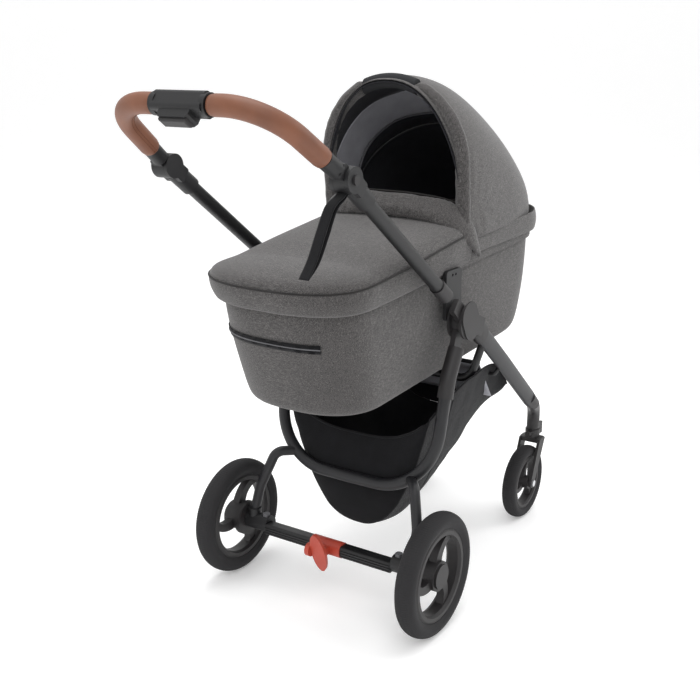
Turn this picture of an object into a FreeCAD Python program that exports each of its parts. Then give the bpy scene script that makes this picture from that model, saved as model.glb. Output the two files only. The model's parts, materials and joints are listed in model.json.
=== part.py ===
import FreeCAD, Part
import math
import os

V = FreeCAD.Vector

# Pushchair with a carrycot.  Millimetres, +Z up, it travels towards -Y, +X is the pusher's left.
# It is drawn with the rear axle over y = 0; export() moves it to the middle of its footprint.
rear_axle_y = 146.63

# wheels
rear_wheel_radius = 136.0
rear_wheel_width = 46.0
rear_track = 532.0
rear_tyre_depth = 34.5
rear_hub_radius = 33.0
front_wheel_radius = 97.0
front_wheel_width = 37.0
front_track = 351.0
front_tyre_depth = 26.0
front_hub_radius = 17.0
wheelbase = 645.0
caster_trail = 50.0
brake_drum_radius = 40.0
brake_drum_width = 14.0
rear_pin_radius = 6.0
rear_pin_reach = 30.0
front_axle_radius = 5.0
axle_head_radius = 8.5
fork_inner_half = 22.5
fork_arm_thickness = 7.0

# frame joints
hub_x = 209.0
hub_y = -206.0
hub_z = 636.0
handle_hinge_x = 208.5
handle_hinge_y = 243.5
handle_hinge_z = 982.3
handle_pitch = 36.2
handle_reach = 216.4
handle_bend_radius = 104.0
handle_inset = 34.0

# tubes
push_tube_radius = 14.5
rear_tube_radius = 13.5
arm_tube_radius = 11.5
handle_tube_radius = 11.0
grip_radius = 19.0
leg_depth = 43.0
leg_thickness = 26.0
tube_wall = 1.6

# carrycot, drawn level and then tipped head-up by cot_tilt about a line across it
cot_tilt = -3.0
cot_tilt_y = -155.0
cot_tilt_z = 655.0
cot_half_width = 170.0
cot_foot_y = 205.0
cot_head_y = -728.0
cot_floor_z = 501.0
cot_rim_z = 775.0
cot_wall = 8.0
cot_floor_thickness = 12.0
rim_gap = 0.5
rim_height = 42.0
rim_depth = 9.0
apron_head_y = -240.0
apron_crown = 94.0
flap_length = 96.0
flap_thickness = 20.0
hood_hinge_y = -270.0
hood_hinge_z = 800.0
hood_bow_half = cot_half_width + 2.0
hood_bow_height = 336.0
hood_bow_radius = 6.5
hood_bow_lean = 5.0
rear_bow_radius = 3.1
rear_bow_height = 312.0
rear_bow_lean = -42.0
hood_pin_radius = 4.0
hood_boss_radius = 11.0
carry_grip_radius = 16.0
carry_grip_half = 66.0
mattress_height = 26.0

# clearances
pin_gap = 0.05
socket_gap = 0.2
slip = 0.3


# ---------------------------------------------------------------- helpers
def mirrored(shape):
    return shape.mirror(V(0, 0, 0), V(1, 0, 0))


def both_sides(shape):
    return Part.makeCompound([shape, mirrored(shape)])


def block(low, high):
    return Part.makeBox(high[0] - low[0], high[1] - low[1], high[2] - low[2], V(*low))


def soft_block(low, high, radius, axis=None):
    # a box with all its edges rounded, or only those that run along one axis
    shape = block(low, high)
    edges = shape.Edges
    if axis:
        edges = [e for e in edges if abs(e.tangentAt(e.FirstParameter).dot(axis)) > 0.99]
    return shape.makeFillet(radius, edges)


def rod(start, end, radius):
    along = end - start
    return Part.makeCylinder(radius, along.Length, start, along)


def disc(x_low, x_high, y, z, radius):
    return Part.makeCylinder(radius, x_high - x_low, V(x_low, y, z), V(1, 0, 0))


def on_line(start, end, distance):
    along = end - start
    along.normalize()
    return start + along * distance


def turned(shape, degrees, y=0.0, z=0.0):
    shape = shape.copy()
    shape.rotate(V(0, y, z), V(1, 0, 0), degrees)
    return shape


def moved(shape, x, y, z):
    shape = shape.copy()
    shape.translate(V(x, y, z))
    return shape


def route(points, radii):
    # straight runs joined by tangent arcs, one radius for each inner point
    edges = []
    start = points[0]
    for before, corner, after, radius in zip(points, points[1:], points[2:], radii):
        arriving = (corner - before).normalize()
        leaving = (after - corner).normalize()
        half_turn = arriving.getAngle(leaving) / 2
        reach = radius * math.tan(half_turn)
        arc_start = corner - arriving * reach
        arc_end = corner + leaving * reach
        inward = (leaving - arriving).normalize()
        middle = corner + inward * (radius / math.cos(half_turn) - radius)
        edges.append(Part.LineSegment(start, arc_start).toShape())
        edges.append(Part.Arc(arc_start, middle, arc_end).toShape())
        start = arc_end
    edges.append(Part.LineSegment(start, points[-1]).toShape())
    return Part.Wire(edges)


def swept(path, section):
    return path.makePipeShell([section], True, False)


def round_section(at, along, radius):
    return Part.Wire([Part.makeCircle(radius, at, along)])


def bent_rod(points, radii, radius):
    path = route(points, radii)
    return swept(path, round_section(points[0], points[1] - points[0], radius))


def oval_section(at, along, wide, thick):
    # an ellipse across a path, its short axis along X
    along = (along * 1).normalize()
    short = V(1, 0, 0) - along * along.x
    short.normalize()
    long_axis = along.cross(short)
    ellipse = Part.Ellipse(at + long_axis * wide / 2, at + short * thick / 2, at)
    return Part.Wire([ellipse.toShape()])


def spun(outline, x_middle, y, z):
    # a profile of (x, radius) points turned about an axle along X
    points = [V(x_middle + x, y, z + r) for x, r in outline]
    points.append(points[0])
    face = Part.Face(Part.makePolygon(points))
    return face.revolve(V(x_middle, y, z), V(1, 0, 0), 360)


def ring(x_low, x_high, y, z, outer, inner):
    return disc(x_low, x_high, y, z, outer).cut(disc(x_low - 1, x_high + 1, y, z, inner))


def fused(shapes):
    result = shapes[0].multiFuse(shapes[1:])
    return result.removeSplitter()


parts = {}


# ---------------------------------------------------------------- wheels
def tyre_profile(width, radius, depth):
    # rounded crown, from one bead over the tread to the other
    half = width / 2
    crown = []
    steps = 10
    for i in range(steps + 1):
        angle = math.pi * i / steps
        x = -half * math.cos(angle)
        r = radius - depth * 0.62 * (1 - math.sin(angle) ** 0.75)
        crown.append((x, r))
    bead = radius - depth
    return [(-half * 0.72, bead)] + crown + [(half * 0.72, bead)]


def spoke(x_low, x_high, y, z, inner, outer, start, sweep, width):
    # a band that curves from the hub to the rim ring
    def at(radius, degrees, aside):
        a = math.radians(degrees)
        b = math.radians(degrees + 90)
        return V(x_low, y + radius * math.cos(a) + aside * math.cos(b),
                 z + radius * math.sin(a) + aside * math.sin(b))

    middle = (inner + outer) / 2
    half = width / 2
    left = Part.Arc(at(inner, start, half), at(middle, start + sweep * 0.35, half * 0.8),
                    at(outer, start + sweep, half)).toShape()
    right = Part.Arc(at(inner, start, -half), at(middle, start + sweep * 0.35, -half * 0.8),
                     at(outer, start + sweep, -half)).toShape()
    cap = Part.LineSegment(left.Vertexes[-1].Point, right.Vertexes[-1].Point).toShape()
    foot = Part.LineSegment(right.Vertexes[0].Point, left.Vertexes[0].Point).toShape()
    face = Part.Face(Part.Wire(Part.__sortEdges__([left, cap, right, foot])))
    return face.extrude(V(x_high - x_low, 0, 0))


def rear_wheel(side):
    x = rear_track / 2
    z = rear_wheel_radius
    half = rear_wheel_width / 2
    bead = rear_wheel_radius - rear_tyre_depth
    tyre = spun(tyre_profile(rear_wheel_width, rear_wheel_radius, rear_tyre_depth), x, 0, z)

    ring_outline = [(-half * 0.70, bead - socket_gap), (half * 0.70, bead - socket_gap),
                    (half * 0.80, bead - 4), (half * 0.80, bead - 12), (half * 0.5, bead - 16),
                    (-half * 0.5, bead - 16), (-half * 0.80, bead - 12), (-half * 0.80, bead - 4)]
    band = spun(ring_outline, x, 0, z)
    hub = disc(x - half + 2, x + half - 7, 0, z, rear_hub_radius)
    drum_x = x - half + 2 - brake_drum_width
    drum = disc(drum_x, x - half + 2, 0, z, brake_drum_radius)
    spokes = [spoke(x - 9, x + 9, 0, z, rear_hub_radius - 6, bead - 13, start, 26, 26)
              for start in (-20, 100, 220)]
    pin_end = x + half - 13
    pin_bore = disc(drum_x - 1, pin_end + socket_gap, 0, z, rear_pin_radius + socket_gap)
    rim = fused([band, hub, drum] + spokes).cut(pin_bore)

    cap = disc(x + half - 7 + socket_gap, x + half - 2, 0, z, rear_hub_radius - 6)
    pin = disc(drum_x - rear_pin_reach, pin_end, 0, z, rear_pin_radius)

    pieces = {"rear_tyre": tyre, "rear_rim": rim, "rear_hub_cap": cap, "rear_axle_pin": pin}
    for name, shape in pieces.items():
        parts[name + "_" + side] = shape if side == "left" else mirrored(shape)


def front_wheel(side):
    x = front_track / 2
    y = -wheelbase
    z = front_wheel_radius
    half = front_wheel_width / 2
    bead = front_wheel_radius - front_tyre_depth
    tyre = spun(tyre_profile(front_wheel_width, front_wheel_radius, front_tyre_depth), x, y, z)

    ring_outline = [(-half * 0.70, bead - socket_gap), (half * 0.70, bead - socket_gap),
                    (half * 0.78, bead - 3), (half * 0.78, bead - 9), (half * 0.5, bead - 12),
                    (-half * 0.5, bead - 12), (-half * 0.78, bead - 9), (-half * 0.78, bead - 3)]
    band = spun(ring_outline, x, y, z)
    hub = disc(x - half - 2, x + half + 2, y, z, front_hub_radius)
    spokes = [spoke(x - 7, x + 7, y, z, front_hub_radius - 3, bead - 9, start, 24, 15)
              for start in (-30, 90, 210)]
    bore = disc(x - half - 5, x + half + 5, y, z, front_axle_radius + pin_gap)
    rim = fused([band, hub] + spokes).cut(bore)

    reach = fork_inner_half + fork_arm_thickness
    axle = disc(x - reach - 1, x + reach + 1, y, z, front_axle_radius)
    heads = [disc(x - reach - 4, x - reach - socket_gap, y, z, axle_head_radius),
             disc(x + reach + socket_gap, x + reach + 4, y, z, axle_head_radius)]
    axle = fused([axle] + heads)

    pieces = {"front_tyre": tyre, "front_rim": rim, "front_axle": axle}
    for name, shape in pieces.items():
        parts[name + "_" + side] = shape if side == "left" else mirrored(shape)


# ---------------------------------------------------------------- casters
swivel_y = -wheelbase - caster_trail
swivel_x = front_track / 2
crown_low_z = 2 * front_wheel_radius + 3.0
crown_height = 12.0
crown_half_length = 17.0
stem_radius = 8.0
stem_height = 40.0
collar_radius = 19.0
collar_height = 22.0
neck_radius = 16.5
shoulder_length = 40.0
lock_width = 16.0


def caster_fork():
    x = swivel_x
    z = front_wheel_radius
    inner = fork_inner_half
    outer = inner + fork_arm_thickness
    crown = soft_block((x - outer, swivel_y - crown_half_length, crown_low_z),
                       (x + outer, swivel_y + crown_half_length, crown_low_z + crown_height),
                       8.0, V(0, 0, 1))
    arm_top_z = crown_low_z + crown_height
    arm_points = [V(0, swivel_y - crown_half_length, arm_top_z - 2),
                  V(0, swivel_y + crown_half_length, arm_top_z - 2),
                  V(0, -wheelbase + 13, z), V(0, -wheelbase - 13, z)]
    arms = []
    for low in (x - outer, x + inner):
        points = [V(low, p.y, p.z) for p in arm_points]
        plate = Part.Face(Part.makePolygon(points + [points[0]])).extrude(V(fork_arm_thickness, 0, 0))
        arms.append(plate)
        arms.append(disc(low, low + fork_arm_thickness, -wheelbase, z, 13))
    stem = rod(V(x, swivel_y, crown_low_z + crown_height - 1),
               V(x, swivel_y, crown_low_z + crown_height + stem_height), stem_radius)
    bore = disc(x - outer - 1, x + outer + 1, -wheelbase, z, front_axle_radius + socket_gap)
    return fused([crown, stem] + arms).cut(bore)


def caster_housing():
    # curved neck from the leg's end down to the swivel collar
    x = swivel_x
    top_z = crown_low_z + crown_height
    neck_start = leg_end + leg_end_direction * socket_gap
    neck_points = [neck_start, leg_end + leg_end_direction * 34,
                   V(x + 1, swivel_y, top_z + 78), V(x, swivel_y, top_z + slip + 4)]
    neck = bent_rod(neck_points, [70, 60], neck_radius)
    collar = rod(V(x, swivel_y, top_z + slip), V(x, swivel_y, top_z + collar_height), collar_radius)
    shoulder_end = leg_end + leg_end_direction * shoulder_length
    shoulder = Part.makeLoft([oval_section(neck_start, leg_end_direction, leg_depth, leg_thickness),
                              oval_section(shoulder_end, leg_end_direction, 2 * neck_radius + 0.4,
                                           2 * neck_radius + 0.2)], True)
    rear_lug = soft_block((x - 8, swivel_y + 14, top_z + 10), (x + 8, swivel_y + 34, top_z + 20), 3.0)
    guide = block((x - lock_width / 2 - 4, swivel_y - 36, top_z + 2),
                  (x + lock_width / 2 + 4, swivel_y - 12, top_z + 34))
    slot = block((x - lock_width / 2 - slip, swivel_y - 31, top_z - 1),
                 (x + lock_width / 2 + slip, swivel_y - 22, top_z + 60))
    mouth = block((x - 5 - slip, swivel_y - 40, top_z - 1), (x + 5 + slip, swivel_y - 30, top_z + 60))
    bore = rod(V(x, swivel_y, top_z - 5), V(x, swivel_y, top_z + stem_height + slip),
               stem_radius + pin_gap)
    body = fused([neck, collar, shoulder, rear_lug, guide]).cut(bore)
    return body.cut(slot).cut(mouth)


def swivel_lock():
    # a tab that slides up and down in its guide in front of the collar
    x = swivel_x
    top_z = crown_low_z + crown_height
    blade = block((x - lock_width / 2, swivel_y - 31 + slip, top_z + 6),
                  (x + lock_width / 2, swivel_y - 22 - slip, top_z + 26))
    finger = soft_block((x - 5, swivel_y - 44, top_z + 10), (x + 5, swivel_y - 29, top_z + 20), 2.5,
                        V(1, 0, 0))
    return fused([blade, finger])


# ---------------------------------------------------------------- front frame
leg_top = V(hub_x, hub_y - 60, hub_z - 24)
leg_middle = V(hub_x - 2, -430, 482)
leg_end = V(204, -592, 351)
leg_end_direction = (leg_end - leg_middle).normalize()
leg_bend_radius = 420.0
front_leg_angle = math.degrees(math.atan2(leg_top.z - hub_z, leg_top.y - hub_y))


def leg_solid(larger):
    path = route([leg_top, leg_middle, leg_end], [leg_bend_radius])
    return swept(path, oval_section(leg_top, leg_middle - leg_top, leg_depth + 2 * larger,
                                    leg_thickness + 2 * larger))


def front_leg():
    return leg_solid(0).cut(leg_solid(-tube_wall))


# hub, in layers along X: inner plate, rear knuckle, push knuckle, outer plate, cover
plate_thickness = 5.0
knuckle_thickness = 12.0
hub_gap = 0.3
hub_inner_x = hub_x - knuckle_thickness - hub_gap * 1.5 - plate_thickness
rear_knuckle_x = hub_inner_x + plate_thickness + hub_gap
push_knuckle_x = rear_knuckle_x + knuckle_thickness + hub_gap
hub_outer_x = push_knuckle_x + knuckle_thickness + hub_gap
hub_plate_radius = 40.0
knuckle_radius = 27.0
hub_bolt_radius = 8.0
hub_bolt_head_radius = 13.0
cover_thickness = 3.0
cover_half_width = 34.0
cover_half_length = 45.0
cover_turn = -28.0
cover_shift_y = -3.0
cover_shift_z = 1.0
hub_sleeve_reach = (60.0, 106.0)
hub_arm_height = 42.0


def hub_slab(x_low, x_high, near, far, height, degrees):
    # a bar in the hub's plane that points away from the pivot
    shape = soft_block((x_low, near, -height / 2), (x_high, far, height / 2), 5.0, V(1, 0, 0))
    return moved(turned(shape, degrees), 0, hub_y, hub_z)


def fold_hub():
    inner_plate = disc(hub_inner_x, hub_inner_x + plate_thickness, hub_y, hub_z, hub_plate_radius)
    outer_plate = disc(hub_outer_x, hub_outer_x + plate_thickness, hub_y, hub_z, hub_plate_radius)
    inner_arm = hub_slab(hub_inner_x, hub_inner_x + plate_thickness, 0, hub_sleeve_reach[0] + 14,
                         hub_arm_height, front_leg_angle)
    outer_arm = hub_slab(hub_outer_x, hub_outer_x + plate_thickness, 0, hub_sleeve_reach[0] + 14,
                         hub_arm_height, front_leg_angle)
    outer_x = hub_outer_x + plate_thickness
    sleeve = leg_solid((outer_x - hub_inner_x - leg_thickness) / 2)
    sleeve = sleeve.common(ring(hub_inner_x - 1, outer_x + 1, hub_y, hub_z, hub_sleeve_reach[1],
                                hub_sleeve_reach[0]))
    bolt_hole = disc(hub_inner_x - 5, hub_outer_x + plate_thickness + 5, hub_y, hub_z,
                     hub_bolt_radius + socket_gap)
    housing = fused([inner_plate, outer_plate, inner_arm, outer_arm, sleeve])
    return housing.cut(leg_solid(socket_gap)).cut(bolt_hole)


def hub_cover():
    x = hub_outer_x + plate_thickness + socket_gap
    plate = soft_block((x, -cover_half_width, -cover_half_length),
                       (x + cover_thickness, cover_half_width, cover_half_length),
                       cover_half_width - 1, V(1, 0, 0))
    return moved(turned(plate, cover_turn), 0, hub_y + cover_shift_y, hub_z + cover_shift_z)


def hub_bolt():
    x_low = hub_inner_x - 3
    x_high = hub_outer_x + plate_thickness
    shank = disc(x_low, x_high, hub_y, hub_z, hub_bolt_radius)
    head = disc(x_low - 5, hub_inner_x - socket_gap, hub_y, hub_z, hub_bolt_head_radius)
    return fused([shank, head])


adapter_thickness = 8.0
adapter_x = hub_inner_x - socket_gap - adapter_thickness
adapter_y = -196.0
adapter_half_depth = 34.0
adapter_top_z = 748.0
adapter_foot_z = 640.0
adapter_seat_z = 686.0
adapter_seat_half = 18.0
adapter_seat_depth = 8.5
adapter_wall = 5.0
adapter_hole_radius = 3.2
adapter_hole_spacing = 14.0
adapter_hole_drop = 11.0
lug_height = 30.0
lug_flange = 3.0


def cot_adapter():
    # a plate bolted inside the hub with a seat for the cot's lug, and two holes
    x = adapter_x
    outer_x = x + adapter_thickness
    plate = soft_block((x, adapter_y - adapter_half_depth, adapter_foot_z),
                       (outer_x, adapter_y + adapter_half_depth, adapter_top_z), 8.0, V(1, 0, 0))
    seat = block((x - adapter_seat_depth, adapter_y - adapter_seat_half - adapter_wall,
                  adapter_seat_z - 8),
                 (x, adapter_y + adapter_seat_half + adapter_wall, adapter_seat_z + 26))
    pocket = block((x - adapter_seat_depth - 1, adapter_y - adapter_seat_half, adapter_seat_z),
                   (x + 0.01, adapter_y + adapter_seat_half, adapter_seat_z + 40))
    bolt_room = disc(x - 1, outer_x + 1, hub_y, hub_z, hub_bolt_head_radius + 2 * slip)
    shape = fused([plate, seat]).cut(pocket).cut(bolt_room)
    for dy in (-adapter_hole_spacing / 2, adapter_hole_spacing / 2):
        shape = shape.cut(disc(x - 1, outer_x + 1, adapter_y + dy,
                               adapter_top_z - adapter_hole_drop, adapter_hole_radius))
    return shape


brace_radius = 9.0
brace_y = -316.0
brace_drop_x = 176.0
brace_drop_z = 468.0
brace_end_x = 206.0
brace_end_z = 562.0


def cross_brace():
    # a bar under the cot between the two legs
    points = [V(brace_end_x, brace_y, brace_end_z), V(brace_drop_x, brace_y, brace_drop_z),
              V(-brace_drop_x, brace_y, brace_drop_z), V(-brace_end_x, brace_y, brace_end_z)]
    bar = bent_rod(points, [42, 42], brace_radius)
    return bar.cut(both_sides(leg_solid(socket_gap)))


# ---------------------------------------------------------------- basket
basket_wall = 4.0
basket_bar_radius = 5.0
basket_bar_y = -400.0
basket_bar_z = 462.0
# stations from the rear to the front: y, half width, top of the side, lowest point
basket_stations = [(-105.0, 188.0, 432.0, 146.0), (-190.0, 191.0, 458.0, 136.0),
                   (-320.0, 192.0, 480.0, 186.0), (-430.0, 187.0, 468.0, 252.0),
                   (-515.0, 176.0, 402.0, 318.0)]
basket_rear_lip_z = 352.0
basket_front_lip_z = 392.0


def basket_section(y, half, top, low):
    # a hanging U: steep sides that run in to a rounded bottom
    def bag(half_width, bottom):
        depth = top - bottom
        points = []
        for i in range(17):
            t = -1 + i / 8
            x = half_width * math.copysign(abs(t) ** 0.72, t)
            z = bottom + depth * abs(t) ** 1.9
            points.append(V(x, y, z))
        return points

    outer = bag(half, low)
    inner = bag(half - basket_wall, low + basket_wall)
    outer_curve = Part.BSplineCurve()
    outer_curve.interpolate(outer)
    inner_curve = Part.BSplineCurve()
    inner_curve.interpolate(inner)
    left = Part.LineSegment(outer[0], inner[0]).toShape()
    right = Part.LineSegment(inner[-1], outer[-1]).toShape()
    return (Part.Wire([outer_curve.toShape(), right, inner_curve.toShape(), left]),
            Part.Wire([outer_curve.toShape(), Part.LineSegment(outer[-1], outer[0]).toShape()]))


def basket():
    bands = []
    fills = []
    for station in basket_stations:
        band, fill = basket_section(*station)
        bands.append(band)
        fills.append(fill)
    shell = Part.makeLoft(bands, True, False)
    solid = Part.makeLoft(fills, True, False)
    rear_y = basket_stations[0][0]
    front_y = basket_stations[-1][0]
    rear = solid.common(block((-250, rear_y - basket_wall, 0), (250, rear_y + 1, basket_rear_lip_z)))
    front = solid.common(block((-250, front_y - 1, 0), (250, front_y + basket_wall, basket_front_lip_z)))
    tabs = [block((x - 4, basket_bar_y - 16, basket_bar_z - 14),
                  (x + 4, basket_bar_y + 16, basket_bar_z + 12))
            for x in (-184, 184)]
    body = fused([shell, rear, front] + tabs)
    bar_hole = disc(-260, 260, basket_bar_y, basket_bar_z, basket_bar_radius + socket_gap)
    return body.cut(bar_hole)


def basket_bar():
    # crosses between the legs, its ends held in the leg brackets
    points = [V(-207, basket_bar_y - 22, basket_bar_z + 24), V(-197, basket_bar_y, basket_bar_z),
              V(197, basket_bar_y, basket_bar_z), V(207, basket_bar_y - 22, basket_bar_z + 24)]
    bar = bent_rod(points, [6, 6], basket_bar_radius)
    return bar.cut(both_sides(leg_solid(socket_gap)))


# ---------------------------------------------------------------- rear frame
rear_tube_points = [V(207, hub_y + 22, hub_z - 58), V(208.5, -148, 520), V(208.5, -80, 270), V(0, -82, 266)]
rear_tube_points += [V(-p.x, p.y, p.z) for p in reversed(rear_tube_points[:-1])]
rear_tube_radii = [60, 140, 900, 140, 60]
rear_sleeve_angle = -70.0
rear_sleeve_radius = 17.5
rear_arm_reach = 72.0
rear_arm_height = 32.0
arm_bend_radii = [26, 60]
housing_length = 62.0
housing_x = rear_track / 2 - rear_wheel_width / 2 + 2 - brake_drum_width - slip - housing_length
arm_points = [V(150, -80, 302), V(housing_x + 18, -50, 298), V(housing_x + 44, -20, 214),
              V(housing_x + 46, 0, 158)]
housing_radius = 20.0
release_width = 15.0
release_half_depth = 8.0
release_travel = 4.0
release_inset = 4.0
beam_y = 6.0
beam_z = 130.0
beam_half_height = 13.0
beam_half_depth = 15.0
journal_radius = 13.0
journal_half = 40.0
pedal_hub_outer = 18.0
pedal_y = 44.0


def rear_sleeve():
    knuckle = disc(rear_knuckle_x, rear_knuckle_x + knuckle_thickness, hub_y, hub_z, knuckle_radius)
    arm = hub_slab(rear_knuckle_x, rear_knuckle_x + knuckle_thickness, 0, rear_arm_reach,
                   rear_arm_height, rear_sleeve_angle)
    bolt_hole = disc(rear_knuckle_x - 1, rear_knuckle_x + knuckle_thickness + 1, hub_y, hub_z,
                     hub_bolt_radius + pin_gap)
    end = on_line(rear_tube_points[1], rear_tube_points[2], 44)
    sleeve = bent_rod([rear_tube_points[0], rear_tube_points[1], end], rear_tube_radii[:1],
                      rear_sleeve_radius)
    core = rear_tube_solid(rear_tube_radius + socket_gap)
    return fused([knuckle, arm, sleeve]).cut(bolt_hole).cut(core)


def rear_tube_solid(radius):
    return bent_rod(rear_tube_points, rear_tube_radii, radius)


def rear_leg_frame():
    return rear_tube_solid(rear_tube_radius)


def arm_solid(larger):
    # the arm leaves the rear tube's own centre line
    tube_line = route(rear_tube_points, rear_tube_radii)
    start = tube_line.distToShape(Part.Vertex(arm_points[0]))[1][0][0]
    return bent_rod([start] + arm_points[1:], arm_bend_radii, arm_tube_radius + larger)


def axle_arm():
    return arm_solid(0).cut(rear_tube_solid(rear_tube_radius + socket_gap))


def release_block(larger, low_z, high_z):
    x = housing_x + release_inset
    return block((x - larger, -release_half_depth - larger, low_z),
                 (x + release_width + larger, release_half_depth + larger, high_z))


def axle_housing():
    x = housing_x
    z = rear_wheel_radius
    body = disc(x, x + housing_length, 0, z, housing_radius)
    collar = rod(arm_points[-1] + V(0, 0, -12), arm_points[-1] + V(0, 0, 10), arm_tube_radius + 4)
    bore = disc(x + housing_length - rear_pin_reach - slip, x + housing_length + 1, 0, z,
                rear_pin_radius + pin_gap)
    shape = fused([body, collar]).cut(arm_solid(socket_gap)).cut(bore)
    well_low_z = z + housing_radius - 6 - release_travel - slip
    return shape.cut(release_block(slip, well_low_z, z + housing_radius + 20))


def wheel_release():
    # an oval button on top of the housing, pressed down to free the wheel
    top_z = rear_wheel_radius + housing_radius
    button = release_block(0, top_z - 6, top_z + 5)
    edges = [e for e in button.Edges if abs(e.tangentAt(e.FirstParameter).z) > 0.99]
    return button.makeFillet(6.0, edges)


def axle_beam():
    outer = soft_block((-housing_x + socket_gap, beam_y - beam_half_depth, beam_z - beam_half_height),
                       (housing_x - socket_gap, beam_y + beam_half_depth, beam_z + beam_half_height),
                       6.0, V(1, 0, 0))
    waist = block((-journal_half, beam_y - 40, beam_z - 40), (journal_half, beam_y + 40, beam_z + 40))
    journal = disc(-journal_half - 2, journal_half + 2, beam_y, beam_z, journal_radius)
    grooves = [block((-250, beam_y + beam_half_depth - 2, beam_z + dz - 1.5),
                     (250, beam_y + beam_half_depth + 1, beam_z + dz + 1.5)) for dz in (-6, 0, 6)]
    return fused([outer.cut(waist).cut(Part.makeCompound(grooves)), journal])


def brake_pedal():
    half = journal_half - slip
    sleeve = ring(-half, half, beam_y, beam_z, pedal_hub_outer, journal_radius + pin_gap)
    neck = block((-13, beam_y + pedal_hub_outer - 4, beam_z - 9), (13, pedal_y - 2, beam_z + 9))
    leaf = Part.Face(Part.Wire([Part.Ellipse(V(0, 0, 52), V(19, 0, 0), V(0, 0, 0)).toShape()]))
    leaf = leaf.extrude(V(0, 7, 0))
    leaf = turned(leaf, -18)
    leaf = moved(leaf, 0, pedal_y - 4, beam_z)
    return fused([sleeve, neck, leaf])


def pedal_disc():
    # slotted ratchet disc beside the pedal's leaf
    x = 19.6
    body = disc(x, x + 11, pedal_y - 2, beam_z, 15)
    return body.cut(ring(x + 7, x + 12, pedal_y - 2, beam_z, 11.5, 5.5))


# ---------------------------------------------------------------- push frame
push_start = V(handle_hinge_x, -124, 707.5)
push_end = V(handle_hinge_x, 221.9, 967.5)
push_angle = math.degrees(math.atan2(push_start.z - hub_z, push_start.y - hub_y))
push_slope = math.degrees(math.atan2(push_end.z - push_start.z, push_end.y - push_start.y))
hinge_disc_radius = 24.0
hinge_tongue_half = 11.7
hinge_cheek_half = 20.0
hinge_button_radius = 9.0
hinge_pin_radius = 4.0
hinge_button_travel = 3.0
lower_sleeve_radius = 19.0
upper_sleeve_radius = 16.5
shoe_wall = 2.3
shoe_arm_height = 34.0
shoe_arm_reach = 70.0


def push_tube():
    return rod(push_start, push_end, push_tube_radius)


def push_shoe():
    knuckle = disc(push_knuckle_x, push_knuckle_x + knuckle_thickness, hub_y, hub_z, knuckle_radius)
    arm = hub_slab(push_knuckle_x, push_knuckle_x + knuckle_thickness, 0, shoe_arm_reach,
                   shoe_arm_height, push_angle)
    sleeve = rod(on_line(push_start, push_end, -4), on_line(push_start, push_end, 44),
                 push_tube_radius + shoe_wall)
    bolt_hole = disc(push_knuckle_x - 1, push_knuckle_x + knuckle_thickness + 1, hub_y, hub_z,
                     hub_bolt_radius + pin_gap)
    core = rod(push_start, push_end, push_tube_radius + socket_gap)
    return fused([knuckle, arm, sleeve]).cut(bolt_hole).cut(core)


def hinge_lower():
    x = handle_hinge_x
    y = handle_hinge_y
    z = handle_hinge_z
    cheeks = [disc(x + hinge_tongue_half + slip, x + hinge_cheek_half, y, z, hinge_disc_radius),
              disc(x - hinge_cheek_half, x - hinge_tongue_half - slip, y, z, hinge_disc_radius)]
    sleeve = rod(on_line(push_end, push_start, -6), on_line(push_end, push_start, 52),
                 lower_sleeve_radius)
    yoke = soft_block((-hinge_cheek_half, -38, -15), (hinge_cheek_half, -4, 15), 5.0, V(1, 0, 0))
    yoke = moved(turned(yoke, push_slope), x, y, z)
    room = disc(x - hinge_tongue_half - slip, x + hinge_tongue_half + slip, y, z,
                hinge_disc_radius + 2 * slip)
    core = rod(on_line(push_end, push_start, -socket_gap), push_start, push_tube_radius + socket_gap)
    well = disc(x + hinge_cheek_half - 5, x + hinge_cheek_half + 9, y, z, hinge_button_radius + slip)
    pin = disc(x - hinge_cheek_half, x + hinge_cheek_half - 5, y, z, hinge_pin_radius)
    body = fused(cheeks + [sleeve, yoke]).cut(room).cut(core).cut(well)
    return fused([body, pin])


def hinge_upper():
    x = handle_hinge_x
    y = handle_hinge_y
    z = handle_hinge_z
    tongue = disc(x - hinge_tongue_half, x + hinge_tongue_half, y, z, hinge_disc_radius)
    neck = soft_block((-hinge_tongue_half, 0, -14), (hinge_tongue_half, 34, 14), 4.0, V(1, 0, 0))
    neck = moved(turned(neck, handle_pitch), x, y, z)
    sleeve = rod(handle_point(x - 3.4, 28), handle_point(x - 9, 64), upper_sleeve_radius)
    sleeve = sleeve.cut(disc(x - 40, x + 40, y, z, hinge_disc_radius + 2 * slip))
    core = bent_rod(handle_route(), [handle_bend_radius, handle_bend_radius],
                    handle_tube_radius + socket_gap)
    pin_hole = disc(x - 30, x + 30, y, z, hinge_pin_radius + pin_gap)
    return fused([tongue, neck, sleeve]).cut(core).cut(pin_hole)


def hinge_button():
    x = handle_hinge_x + hinge_cheek_half
    return disc(x - 5 + hinge_button_travel + slip, x + 4, handle_hinge_y, handle_hinge_z,
                hinge_button_radius)


# ---------------------------------------------------------------- handlebar
def handle_point(x, reach, up=0.0):
    # a point in the handle's plane, reach from the hinge line, up above the plane
    a = math.radians(handle_pitch)
    return V(x, handle_hinge_y + reach * math.cos(a) - up * math.sin(a),
             handle_hinge_z + reach * math.sin(a) + up * math.cos(a))


def on_handle(shape):
    return moved(turned(shape, handle_pitch), 0, handle_hinge_y, handle_hinge_z)


handle_tube_start = 36.0
grip_start = 66.0
housing_half = 62.0
housing_radius_big = 20.5
trigger_half = 30.0
trigger_low = -39.0
belly_low = -33.0
belly_reach = 13.85
trigger_travel = 6.0
slider_travel = 8.0


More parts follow.
